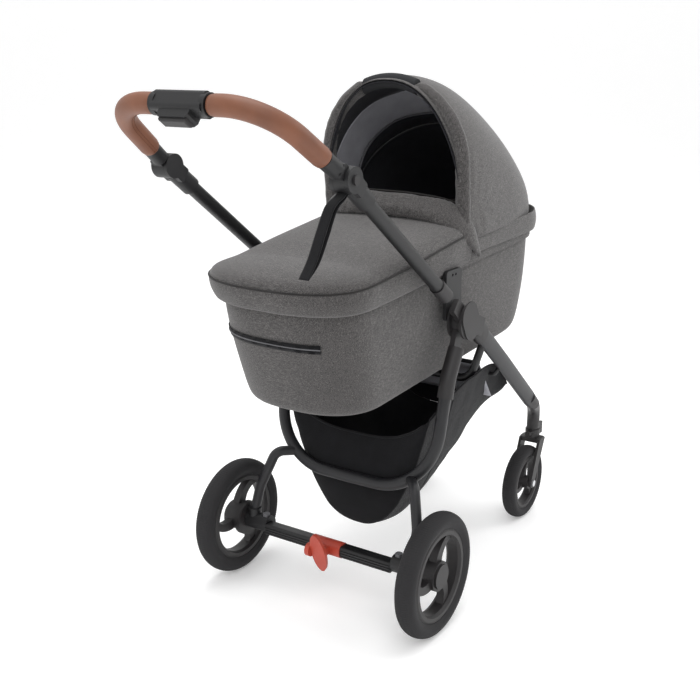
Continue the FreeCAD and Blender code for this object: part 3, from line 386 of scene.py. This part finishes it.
slotMaterials = {"satin_charcoal_alloy": charcoalCoat, "black_alloy": blackCoat,
                 "charcoal_plastic": charcoalPlastic, "black_plastic": blackPlastic,
                 "grey_plastic": greyPlastic, "red_plastic": redPlastic, "steel": steel,
                 "tan_leather": leather, "black_webbing": blackWebbing, "black_twill": blackTwill,
                 "grey_melange_fabric": greyMelange, "white_knit": knitWhite, "black_foam": foamGrip,
                 "black_tyre": rubberTyre}
slotOf = {entry["node"]: entry["material_slot"] for entry in frame["record"]["subparts"]}
for name, piece in cad.items():
    for i in range(len(piece.data.materials)):
        piece.data.materials[i] = slotMaterials[slotOf[name]]
    if not piece.data.materials:
        piece.data.materials.append(slotMaterials[slotOf[name]])
print("materials set")


# ---- outlines that the cot's cloth pieces share
footEnd = {"depth": 0.118, "power": 2.5}
headEnd = {"depth": 0.160, "power": 2.3}


def evenly(points, count):
    # the same path with count + 1 points at equal distances
    flat = np.array(points, float)
    steps = np.linalg.norm(np.diff(flat, axis=0), axis=1)
    reach = np.concatenate([[0], np.cumsum(steps)])
    wanted = np.linspace(0, reach[-1], count + 1)
    return np.stack([np.interp(wanted, reach, flat[:, k]) for k in range(flat.shape[1])], axis=1)


def endCurve(half, startY, depth, power):
    # a rounded end from the left side to the right side
    angles = np.linspace(0, math.pi, 121)
    across = half * np.sign(np.cos(angles)) * np.abs(np.cos(angles)) ** (2 / power)
    return list(zip(across, startY + depth * np.abs(np.sin(angles)) ** (2 / power)))


def footCurve(half, footY):
    return endCurve(half, footY - footEnd["depth"], footEnd["depth"], footEnd["power"])


def headCurve(half, headY):
    return endCurve(half, headY + headEnd["depth"], -headEnd["depth"], headEnd["power"])


def footPath(half, footY, fromY, count):
    # round the foot end, from the left side to the right side
    points = [(half, fromY)] + footCurve(half, footY) + [(-half, fromY)]
    return evenly(points, count)


def headPath(half, headY, fromY, count):
    points = [(half, fromY)] + headCurve(half, headY) + [(-half, fromY)]
    return evenly(points, count)


def wholePath(half, footY, headY, count):
    foot = footCurve(half, footY)
    head = headCurve(half, headY)
    points = foot + head[::-1] + [foot[0]]
    return evenly(points, count)


def ripple(x, y, z, size):
    # a soft uneven swell, the same every run
    return (math.sin(x / size * 6.1 + 1.3 * math.sin(z / size * 4.3)) * math.sin(y / size * 5.3 + 0.7)
            + 0.5 * math.sin(z / size * 7.7 + x / size * 2.9))


# ---- carrycot body: cloth over the hard tub
cotMiddle = (0, -0.11, 0.64)
tub = {"half": 0.170, "foot": 0.205, "head": -0.728, "columns": 240, "rows": 26, "liningGap": 0.0085,
       "liningRise": 0.014,
       "height": [0.5012, 0.5035, 0.512, 0.532, 0.572, 0.622, 0.672, 0.722, 0.770],
       "sideIn": [0.046, 0.027, 0.018, 0.0135, 0.010, 0.006, 0.003, 0.001, 0.0],
       "footIn": [0.092, 0.066, 0.053, 0.045, 0.034, 0.022, 0.011, 0.004, 0.001],
       "headIn": [0.078, 0.052, 0.038, 0.028, 0.016, 0.007, 0.003, 0.001, 0.0]}
tubRings = {}


def tubPlace(u, v, inward=0.0, lift=0.0):
    key = (round(v, 5), inward)
    if key not in tubRings:
        tubRings[key] = wholePath(tub["half"] - along(tub["sideIn"], v) - inward,
                                  tub["foot"] - along(tub["footIn"], v) - inward,
                                  tub["head"] + along(tub["headIn"], v) + inward, tub["columns"])
    x, y = tubRings[key][round(u * tub["columns"])]
    return onCot(x, y, along(tub["height"], v) + lift)


cotCloth = gridSheet("carrycotBody", tub["columns"], tub["rows"], tubPlace, closed=True, outFrom=cotMiddle)
pickOnly(cotCloth)
bpy.ops.object.mode_set(mode="EDIT")
bpy.ops.mesh.select_all(action="DESELECT")
bpy.ops.object.mode_set(mode="OBJECT")
edgeUse = {}
for face in cotCloth.data.polygons:
    for key in face.edge_keys:
        edgeUse[key] = edgeUse.get(key, 0) + 1
for edge in cotCloth.data.edges:
    a, b = (cotCloth.data.vertices[i].co for i in edge.vertices)
    flatZ = a.z - onCot(0, a.y - rearAxleY, tub["height"][0]).z
    edge.select = edgeUse[edge.key] == 1 and abs(flatZ) < 0.01
bpy.ops.object.mode_set(mode="EDIT")
bpy.ops.mesh.edge_face_add()
bpy.ops.mesh.select_all(action="SELECT")
bpy.ops.object.mode_set(mode="OBJECT")
useModifier(cotCloth, "SOLIDIFY", thickness=0.003, offset=-1)
finishPiece(cotCloth, greyMelange, "cot", ["cot_tub"], angle=50)
print("carrycot body made")

cotLining = gridSheet("carrycotLining", tub["columns"], tub["rows"],
                      lambda u, v: tubPlace(u, v, tub["liningGap"], tub["liningRise"] * (1 - v)),
                      closed=True, outFrom=cotMiddle)
useModifier(cotLining, "SOLIDIFY", thickness=0.0015, offset=-1)
finishPiece(cotLining, liningGrey, "cot")

# ---- the apron's skirt: a padded band round the foot end
skirt = {"fromY": -0.292, "columns": 150, "rows": 12, "low": [0.7365, 0.731, 0.7305, 0.731, 0.7365],
         "high": [0.806, 0.785, 0.7795, 0.785, 0.806],
         "halfLow": 0.1795, "halfHigh": 0.1865, "footLow": 0.214, "footHigh": 0.229, "bulge": 0.0035}


def skirtPlace(u, v):
    half = skirt["halfLow"] + (skirt["halfHigh"] - skirt["halfLow"]) * v
    footY = skirt["footLow"] + (skirt["footHigh"] - skirt["footLow"]) * v
    swell = skirt["bulge"] * math.sin(math.pi * min(1, v * 1.02))
    hem = -0.004 * (1 - smoothStep(0.0, 0.1, v))
    key = ("skirt", round(v, 5))
    if key not in tubRings:
        tubRings[key] = footPath(half + swell + hem, footY + swell + hem, skirt["fromY"], skirt["columns"])
    x, y = tubRings[key][round(u * skirt["columns"])]
    z = along(skirt["low"], u) * (1 - v) + along(skirt["high"], u) * v
    return onCot(x + 0.0006 * ripple(x, y, z, 0.09), y + 0.0006 * ripple(y, x, z, 0.08), z)


apronSkirt = gridSheet("apronSkirt", skirt["columns"], skirt["rows"], skirtPlace, outFrom=(0, 0.1, 0.76))
thicken(apronSkirt, 0.004)
finishPiece(apronSkirt, greyMelange, "cot")

# ---- apron: a crowned cover from the piping up to the flap
cover = {"headY": -0.235, "tuck": 0.02, "spineFoot": 0.085, "columns": 150, "rows": 26,
         "spine": [0.812, 0.824, 0.833, 0.840, 0.845], "power": 2.6, "sag": 0.004}


def coverPlace(u, v):
    key = ("cover",)
    if key not in tubRings:
        tubRings[key] = footPath(skirt["halfHigh"], skirt["footHigh"], cover["headY"] - cover["tuck"],
                                 cover["columns"])
    x, y = tubRings[key][round(u * cover["columns"])]
    edgeZ = along(skirt["high"], u * 0.94 + 0.03)
    spineY = min(y, cover["spineFoot"])
    share = (cover["spineFoot"] - spineY) / (cover["spineFoot"] - cover["headY"])
    spineZ = along(cover["spine"], share)
    lift = (1 - (1 - v) ** cover["power"]) ** (1 / cover["power"])
    px = x * (1 - v)
    py = y + (spineY - y) * v
    crease = -cover["sag"] * math.sin(math.pi * v) * (0.5 + 0.5 * math.sin(py * 31))
    return onCot(px, py, edgeZ + (spineZ - edgeZ) * lift + crease * 0.4)


apronCover = gridSheet("apronCover", cover["columns"], cover["rows"], coverPlace, outFrom=(0, 0.0, 0.3))
pickOnly(apronCover)
bpy.ops.object.mode_set(mode="EDIT")
bpy.ops.mesh.select_all(action="SELECT")
bpy.ops.mesh.remove_doubles(threshold=0.0004)
bpy.ops.object.mode_set(mode="OBJECT")
thicken(apronCover, 0.003)
finishPiece(apronCover, greyMelange, "cot", ["apron"])
pipingLine = [coverPlace(i / cover["columns"], 0) + Vector((0, 0, 0.0008)) for i in range(0, 151, 3)]
piping = tubeAlong("apronPiping", pipingLine, 0.0021)
pipingCloth = plainCloth("dark bias-cut piping", "#1e1d1d", "#3a3837", 700)
finishPiece(piping, pipingCloth, "cot")
print("apron made")

# ---- the padded flap folded back on the apron's head edge
flap = {"columns": 96, "rows": 14, "thick": 0.011,
        "topX": [0.186, 0.184, 0.150, 0.078, 0.0], "topY": [-0.317, -0.288, -0.262, -0.241, -0.233],
        "topZ": [0.757, 0.832, 0.878, 0.893, 0.896],
        "lowX": [0.189, 0.187, 0.156, 0.082, 0.0], "lowY": [-0.310, -0.262, -0.219, -0.195, -0.187],
        "lowZ": [0.754, 0.790, 0.831, 0.846, 0.849]}


def flapPlace(u, v):
    t = 1 - abs(2 * u - 1)
    side = 1 if u < 0.5 else -1
    top = Vector((side * along(flap["topX"], t), along(flap["topY"], t) + rearAxleY, along(flap["topZ"], t)))
    low = Vector((side * along(flap["lowX"], t), along(flap["lowY"], t) + rearAxleY, along(flap["lowZ"], t)))
    out = Vector((side * (1 - t) * 0.6, 0.75, 0.62)).normalized()
    belly = 0.010 * math.sin(math.pi * v) ** 0.7 * min(1, 5 * t)
    pucker = 0.0016 * math.sin(u * 150) * (1 - v) ** 3 * min(1, 6 * t)
    return low.lerp(top, v) + out * (belly + pucker)


flapPad = gridSheet("windFlap", flap["columns"], flap["rows"], flapPlace, outFrom=(0, -0.14, 0.78))
useModifier(flapPad, "SOLIDIFY", thickness=flap["thick"], offset=-0.4)


def puff(piece, voxel, pressure, cap, frames=20):
    # remesh, blow up a little with cloth, and hold each point within cap of where it was
    useModifier(piece, "REMESH", mode="VOXEL", voxel_size=voxel)
    start = [v.co.copy() for v in piece.data.vertices]
    pickOnly(piece)
    cloth = piece.modifiers.new("Cloth", "CLOTH")
    cloth.settings.use_pressure = True
    cloth.settings.uniform_pressure_force = pressure
    cloth.settings.tension_stiffness = 18
    cloth.settings.compression_stiffness = 18
    cloth.settings.effector_weights.gravity = 0
    cloth.point_cache.frame_end = frames
    scene = bpy.context.scene
    for number in range(1, frames + 1):
        scene.frame_set(number)
    bpy.ops.object.modifier_apply(modifier=cloth.name)
    scene.frame_set(1)
    for vertex, before in zip(piece.data.vertices, start):
        shift = vertex.co - before
        if shift.length > cap:
            vertex.co = before + shift.normalized() * cap


puff(flapPad, 0.0045, 4.0, 0.005)
useModifier(flapPad, "SUBSURF", levels=1, render_levels=1)
finishPiece(flapPad, greyMelange, "cot")
flapEdge = [flapPlace(i / flap["columns"], 1) + Vector((0, 0.001, 0.002)) for i in range(0, 97, 2)]
flapPiping = tubeAlong("flapPiping", flapEdge, 0.0022)
finishPiece(flapPiping, pipingCloth, "cot")
print("flap made")

# ---- hood: one dome of cloth from the front bow to the head end
hood = {"columns": 72, "rows": 54, "lean": math.tan(math.radians(5)), "base": 0.790,
        "y": [-0.272, -0.330, -0.400, -0.470, -0.540, -0.600, -0.650, -0.695, -0.726, -0.743],
        "half": [0.184, 0.187, 0.187, 0.186, 0.183, 0.175, 0.158, 0.128, 0.086, 0.020],
        "height": [0.345, 0.352, 0.339, 0.307, 0.257, 0.202, 0.150, 0.090, 0.040, 0.006],
        "power": [2.3, 2.4, 2.4, 2.3, 2.25, 2.2, 2.2, 2.2, 2.2, 2.2]}


def hoodPlace(u, v, inward=0.0, fold=1.0):
    half = along(hood["half"], v) - inward
    high = along(hood["height"], v) - inward
    power = along(hood["power"], v)
    angle = math.pi * u
    x = half * math.copysign(abs(math.cos(angle)) ** (2 / power), math.cos(angle))
    up = high * abs(math.sin(angle)) ** (2 / power)
    y = along(hood["y"], v) + up * hood["lean"] * (1 - v)
    # pulls fan out from the hinge on each side, and the top sags a little between the bows
    dy = y + 0.27
    reach = math.hypot(dy, up)
    fan = math.atan2(up, -dy + 0.001)
    pull = 0.0035 * math.sin(fan * 13 + 0.8) * math.exp(-((reach - 0.10) / 0.07) ** 2) * fold
    sag = 0.004 * math.sin(math.pi * min(1, v * 1.9)) * smoothStep(0.3, 0.9, math.sin(angle))
    x += math.copysign(pull, x)
    return onCot(x, y, hood["base"] + max(0.0, up - sag * fold))


hoodMiddle = (0, -0.3, 0.85)
hoodCloth = gridSheet("hoodShell", hood["columns"], hood["rows"], hoodPlace, outFrom=hoodMiddle)
thicken(hoodCloth, 0.0025)
finishPiece(hoodCloth, greyMelange, None, ["hood_fabric"])
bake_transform(hoodCloth)

# lining inside: dark behind the hem, a pale band, a zip and a dark mesh back
firstEdge = [0.02, 0.05, 0.16, 0.27, 0.30]
secondEdge = [0.20, 0.24, 0.34, 0.42, 0.45]


def liningSheet(name, fromEdge, toEdge, material):
    def place(u, w):
        t = 1 - abs(2 * u - 1)
        a = along(fromEdge, t)
        b = along(toEdge, t)
        return hoodPlace(u, a + (b - a) * w, 0.006, 0.4)

    piece = gridSheet(name, 60, 18, place, outFrom=hoodMiddle)
    thicken(piece, 0.0015, 0)
    finishPiece(piece, material)
    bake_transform(piece)


liningSheet("hoodLiningFront", [0.0] * 5, firstEdge, liningBlack)
liningSheet("hoodLiningBand", firstEdge, secondEdge, liningGrey)
liningSheet("hoodLiningBack", secondEdge, [1.0] * 5, liningBlack)
zipLine = [hoodPlace(i / 60, along(secondEdge, 1 - abs(i / 30 - 1)), 0.009, 0.4) for i in range(1, 60)]
hoodZip = tubeAlong("hoodZip", zipLine, 0.0022)
finishPiece(hoodZip, greyPlastic)
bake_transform(hoodZip)
print("hood made")

# ---- the hood's padded front hem, in two arms that stop at the carry grip
hem = {"half": 0.172, "height": 0.336, "wide": 0.0165, "deep": 0.0135, "gripHalf": 0.064,
       "hinge": (-0.270 + rearAxleY, 0.800), "lean": math.radians(5)}


def bowPoint(s, outward=0.0):
    # s from 0 at the left foot of the bow to 1 at the right foot
    straight = hem["height"] - hem["half"]
    arc = math.pi * hem["half"]
    d = s * (2 * straight + arc)
    if d < straight:
        x, z, normal = hem["half"], d, Vector((1, 0, 0))
    elif d > straight + arc:
        x, z, normal = -hem["half"], 2 * straight + arc - d, Vector((-1, 0, 0))
    else:
        a = (d - straight) / hem["half"]
        x, z = hem["half"] * math.cos(a), straight + hem["half"] * math.sin(a)
        normal = Vector((math.cos(a), 0, math.sin(a)))
    lean = hem["lean"]
    spot = Vector((x, 0, z)) + normal * outward
    hingeY, hingeZ = hem["hinge"]
    return (Vector((spot.x, hingeY + spot.z * math.sin(lean), hingeZ + spot.z * math.cos(lean))),
            Vector((normal.x, normal.z * math.sin(lean), normal.z * math.cos(lean))))


def hemArm(name, start, end):
    def place(u, v):
        s = start + (end - start) * v
        centre, normal = bowPoint(s)
        forward = Vector((0, math.cos(hem["lean"]), -math.sin(hem["lean"])))
        a = 2 * math.pi * u
        ends = min(1, 14 * min(v, 1 - v) + 0.45)
        seam = 1 - 0.10 * math.exp(-((u - 0.25) / 0.03) ** 2)
        gather = 1 + 0.03 * math.sin(v * 70 + 3 * math.sin(v * 11))
        return (centre + normal * (hem["wide"] * math.cos(a) * ends * gather * seam)
                + forward * (hem["deep"] * math.sin(a) * ends * gather * seam))

    piece = gridSheet(name, 28, 64, place, closed=True)
    closeEnds(piece)
    useModifier(piece, "SUBSURF", levels=1, render_levels=1)
    finishPiece(piece, greyMelange, "hood")
    return piece


bowLength = 2 * (hem["height"] - hem["half"]) + math.pi * hem["half"]
gripShare = hem["gripHalf"] / bowLength
hemArm("hoodHemLeft", 0.02, 0.5 - gripShare)
hemArm("hoodHemRight", 0.5 + gripShare, 0.98)
print("hem made")

# ---- mattress: a knitted cover on a foam pad, blown up a little by cloth
pad = {"half": 0.119, "foot": 0.112, "head": -0.648, "middle": -0.27, "columns": 96, "rows": 24,
       "height": [0.516, 0.516, 0.522, 0.530, 0.536, 0.537, 0.537],
       "spread": [0.25, 0.97, 1.0, 1.0, 0.985, 0.9, 0.25]}
padRing = wholePath(pad["half"], pad["foot"], pad["head"], pad["columns"])


def mattressPlace(u, v):
    x, y = padRing[round(u * pad["columns"])]
    k = along(pad["spread"], v)
    return onCot(x * k, (y - pad["middle"]) * k + pad["middle"], along(pad["height"], v))


mattress = gridSheet("mattressPad", pad["columns"], pad["rows"], mattressPlace, closed=True,
                     outFrom=(0, -0.12, 0.53))
closeEnds(mattress)
puff(mattress, 0.006, 4.0, 0.006)
useModifier(mattress, "SUBSURF", levels=1, render_levels=1)
finishPiece(mattress, knitWhite, "cot", ["mattress"])
print("mattress made")

# ---- the hood's valance hangs over the rim at the head end
valance = {"half": 0.1845, "head": -0.745, "fromY": -0.300, "low": [0.757, 0.750, 0.747, 0.750, 0.757],
           "high": 0.797, "columns": 140, "rows": 10}


def valancePlace(u, v):
    key = ("valance", round(v, 5))
    if key not in tubRings:
        swell = 0.003 * math.sin(math.pi * v)
        tubRings[key] = headPath(valance["half"] + swell, valance["head"] - swell, valance["fromY"],
                                 valance["columns"])
    x, y = tubRings[key][round(u * valance["columns"])]
    low = along(valance["low"], u)
    return onCot(x, y, low + (valance["high"] - low) * v)


hoodValance = gridSheet("hoodValance", valance["columns"], valance["rows"], valancePlace,
                        outFrom=(0, -0.3, 0.78))
thicken(hoodValance, 0.003)
finishPiece(hoodValance, greyMelange, "cot")

# ---- the zip round the foot end of the cot
footZip = {"start": 0.020, "end": 0.150, "low": 0.700, "high": 0.745, "proud": 0.0022, "columns": 40}


def zipPlace(u, v):
    return tubPlace(footZip["start"] + (footZip["end"] - footZip["start"]) * u,
                    footZip["low"] + (footZip["high"] - footZip["low"]) * v, -footZip["proud"])


zipTape = gridSheet("footZipTape", footZip["columns"], 3, zipPlace, outFrom=cotMiddle)
thicken(zipTape, 0.0014, 0)
finishPiece(zipTape, blackWebbing, "cot")
zipMiddle = [zipPlace(i / footZip["columns"], 0.5) + Vector((0, 0.0006, 0))
             for i in range(footZip["columns"] + 1)]
zipTeeth = tubeAlong("footZipTeeth", zipMiddle, 0.0014, 8)
finishPiece(zipTeeth, greyPlastic, "cot")
print("valance and zip made")

# ---- basket: twill hung from the legs, open above
basket = {"y": [-0.106, -0.190, -0.320, -0.430, -0.515], "half": [0.188, 0.191, 0.192, 0.187, 0.176],
          "top": [0.432, 0.462, 0.486, 0.476, 0.404], "low": [0.146, 0.134, 0.182, 0.250, 0.318],
          "widening": 0.72, "rising": 1.9, "slack": 0.0022, "rearLip": 0.366, "frontLip": 0.392,
          "lipDip": 2.2, "endBow": 0.016, "cloth": 0.0025, "binding": 0.0026, "seam": 0.0012,
          "columns": 64, "rows": 40}


def basketPlace(u, v):
    t = 2 * u - 1
    half = along(basket["half"], v)
    top = along(basket["top"], v)
    low = along(basket["low"], v)
    x = half * math.copysign(abs(t) ** basket["widening"], t)
    z = low + (top - low) * abs(t) ** basket["rising"]
    slack = basket["slack"] * ripple(x, along(basket["y"], v), z, 0.11)
    return Vector((x + math.copysign(slack, t), along(basket["y"], v) + rearAxleY, z + 0.5 * slack))


def basketEnd(v, lip):
    def place(u, w):
        edge = basketPlace(u, v)
        top = lip + (along(basket["top"], v) - lip) * abs(2 * u - 1) ** basket["lipDip"]
        bow = basket["endBow"] * math.sin(math.pi * w) * (1 - (2 * u - 1) ** 2) * (1 if v == 0 else -1)
        return Vector((edge.x, edge.y + bow, edge.z + max(0.0, top - edge.z) * w))
    return place


basketMiddle = (0, -0.300 + rearAxleY, 0.40)
basketSides = gridSheet("basketSides", basket["columns"], basket["rows"], basketPlace, outFrom=basketMiddle)
thicken(basketSides, basket["cloth"])
rearPlace = basketEnd(0, basket["rearLip"])
frontPlace = basketEnd(1, basket["frontLip"])
basketRear = gridSheet("basketRear", basket["columns"], 16, rearPlace, outFrom=basketMiddle)
thicken(basketRear, basket["cloth"])
basketFront = gridSheet("basketFront", basket["columns"], 16, frontPlace, outFrom=basketMiddle)
thicken(basketFront, basket["cloth"])
edgeLines = {"basketBindingLeft": [basketPlace(1, i / 40) for i in range(41)],
             "basketBindingRight": [basketPlace(0, i / 40) for i in range(41)],
             "basketBindingRear": [rearPlace(i / 40, 1) for i in range(2, 39)],
             "basketBindingFront": [frontPlace(i / 40, 1) for i in range(2, 39)],
             "basketSeam": [basketPlace(i / 60, 0.30) for i in range(1, 60)]}
basketPieces = [basketSides, basketRear, basketFront]
finishPiece(basketSides, blackTwill, None, ["basket"])
finishPiece(basketRear, blackTwill)
finishPiece(basketFront, blackTwill)
for name, line in edgeLines.items():
    binding = tubeAlong(name, line, basket["seam" if name == "basketSeam" else "binding"], 8)
    finishPiece(binding, blackWebbing)
    basketPieces.append(binding)


panel = {"half": 0.180, "lowY": -0.424, "lowZ": 0.398, "back": 0.070, "up": 0.098}


def meshPanelPlace(u, v):
    return Vector((panel["half"] * (2 * u - 1), panel["lowY"] + panel["back"] * v + rearAxleY,
                   panel["lowZ"] + panel["up"] * v))


meshPanel = gridSheet("basketMeshPanel", 40, 12, meshPanelPlace)
thicken(meshPanel, 0.0015, 0)
finishPiece(meshPanel, liningGrey)
meshBar = tubeAlong("basketMeshBar", [meshPanelPlace(i / 12, 1.02) for i in range(13)], 0.005, 12)
finishPiece(meshBar, blackWebbing)
basketPieces += [meshPanel, meshBar]
for piece in basketPieces:
    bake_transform(piece)
print("basket made")

# ---- handle: leather grips with a stitched seam, and the wrist strap
handle = {"hinge": (0.2085, 0.2435, 0.9823), "pitch": math.radians(36.2), "reach": 0.2164, "inset": 0.034,
          "bend": 0.104, "start": 0.066, "end": 0.064, "radius": 0.019, "steps": 90, "stitch": 0.0062,
          "seam": math.radians(205), "rowGap": 0.14}


def handlePoint(x, reach, up=0.0):
    a = handle["pitch"]
    return Vector((x, handle["hinge"][1] + rearAxleY + reach * math.cos(a) - up * math.sin(a),
                   handle["hinge"][2] + reach * math.sin(a) + up * math.cos(a)))


def gripLine(side, count):
    # in the handle's plane: straight from the hinge, round the bend, then along the bar
    corner = np.array([handle["hinge"][0] - handle["inset"], handle["reach"]])
    first = np.array([handle["hinge"][0], 0.0])
    direction = (corner - first) / np.linalg.norm(corner - first)
    turnBy = math.acos(-direction[0])
    cut = handle["bend"] * math.tan(turnBy / 2)
    centre = corner - direction * cut + handle["bend"] * np.array([-direction[1], direction[0]])
    fromAngle = math.atan2(*(corner - direction * cut - centre)[::-1])
    bend = [centre + handle["bend"] * np.array([math.cos(fromAngle + turnBy * i / 24),
                                                math.sin(fromAngle + turnBy * i / 24)]) for i in range(25)]
    points = [first + direction * handle["start"]] + bend + [np.array([handle["end"], handle["reach"]])]
    return [(side * x, reach) for x, reach in evenly(points, count)]


def makeGrip(side, name):
    steps = handle["steps"]
    line = gripLine(side, steps)

    def ringPoint(share, angle, radius):
        at = share * steps
        i = min(int(at), steps - 1)
        a = np.array(line[i])
        b = np.array(line[i + 1])
        middle = a + (b - a) * (at - i)
        run = (b - a) / np.linalg.norm(b - a)
        outward = np.array([run[1], -run[0]]) * side
        flat = middle + outward * radius * math.cos(angle)
        return handlePoint(flat[0], flat[1], radius * math.sin(angle))

    def place(u, v):
        angle = 2 * math.pi * u
        gap = abs((angle - handle["seam"] + math.pi) % (2 * math.pi) - math.pi)
        groove = 0.0007 * math.exp(-(gap / 0.05) ** 2) - 0.0003 * math.exp(-((gap - 0.16) / 0.07) ** 2)
        # the leather is turned in at each end
        ends = 0.93 + 0.07 * min(1, 30 * min(v, 1 - v))
        return ringPoint(v, angle, handle["radius"] * ends - groove)

    piece = gridSheet(name, 56, 120, place, closed=True)
    closeEnds(piece)
    finishPiece(piece, leather, "handlebar", ["handle_grips"] if side > 0 else [])
    total = sum(math.dist(line[i], line[i + 1]) for i in range(steps))
    count = int(total / handle["stitch"])
    curve = bpy.data.curves.new(name + "Stitches", "CURVE")
    curve.dimensions = "3D"
    curve.bevel_depth = 0.00045
    curve.bevel_resolution = 2
    curve.use_fill_caps = True
    for row in (-handle["rowGap"], handle["rowGap"]):
        for i in range(1, count):
            spline = curve.splines.new("POLY")
            spline.points.add(2)
            for k, part in enumerate((-0.33, 0.0, 0.33)):
                spot = ringPoint((i + part) / count, handle["seam"] + row, handle["radius"] + 0.0002)
                spline.points[k].co = (*spot, 1)
    holder = bpy.data.objects.new(name + "Stitches", curve)
    bpy.context.collection.objects.link(holder)
    pickOnly(holder)
    bpy.ops.object.convert(target="MESH")
    finishPiece(bpy.context.object, leatherThread, "handlebar")


leatherThread = plainCloth("dark waxed thread", "#4a2a1b", "#6a4330", 900)
makeGrip(1, "gripLeft")
makeGrip(-1, "gripRight")

strap = {"x": -0.204, "half": 0.0105, "y": [0.243, 0.254, 0.283, 0.309, 0.336, 0.364],
         "z": [0.962, 0.953, 0.936, 0.895, 0.853, 0.827], "gap": [0.0012, 0.0025, 0.0045, 0.0055, 0.004, 0.0]}


def strapPlace(u, v):
    # down one side of the loop and back up the other
    t = 1 - abs(2 * v - 1)
    side = 1 if v < 0.5 else -1
    y = along(strap["y"], t) + rearAxleY
    z = along(strap["z"], t)
    gap = along(strap["gap"], t) * side
    return Vector((strap["x"] + strap["half"] * (2 * u - 1), y + gap * 0.75, z + gap * 0.65))


wristStrap = gridSheet("wristStrap", 8, 120, strapPlace)
useModifier(wristStrap, "SOLIDIFY", thickness=0.0013, offset=0)
finishPiece(wristStrap, blackWebbing, "push_frame", ["wrist_strap"])
print("grips and strap made")


# ---- tyres: foam rubber with fine slanting tread grooves
tread = {"deep": 0.0011, "share": 0.34, "lead": 0.011, "rings": 30}


def makeTyre(name, centre, radius, width, depth, pitch, body):
    half = width / 2
    turns = [math.pi * i / 16 for i in range(17)]
    outline = [(-half * 0.72, radius - depth)]
    outline += [(-half * math.cos(a), radius - depth * 0.62 * (1 - math.sin(a) ** 0.75)) for a in turns]
    outline += [(half * 0.72, radius - depth), (-half * 0.72, radius - depth)]
    outline = evenly(outline, tread["rings"])
    grooves = round(2 * math.pi * radius / pitch)

    def place(u, v):
        x, r = outline[round(v * tread["rings"])]
        reach = max(0.0, (r - radius + depth * 0.55) / (depth * 0.55))
        phase = (u * grooves + x / tread["lead"]) % 1
        cut = tread["deep"] * min(1, 3 * reach) * (1 if phase < tread["share"] else 0)
        a = 2 * math.pi * u
        r -= cut
        return Vector((centre[0] + x, centre[1] + r * math.cos(a), centre[2] + r * math.sin(a)))

    piece = gridSheet(name, grooves * 4, tread["rings"], place, closed=True)
    finishPiece(piece, rubberTyre, body, [name.removesuffix(".look")], angle=40)


for side, x in (("left", 1), ("right", -1)):
    makeTyre("rear_tyre_" + side + ".look", (x * 0.266, rearAxleY, 0.136), 0.136, 0.046, 0.0345, 0.0058,
             "rear_wheel_" + side)
    makeTyre("front_tyre_" + side + ".look", (x * 0.1755, -0.645 + rearAxleY, 0.097), 0.097, 0.037, 0.026,
             0.0055, "front_wheel_" + side)
print("tyres made")
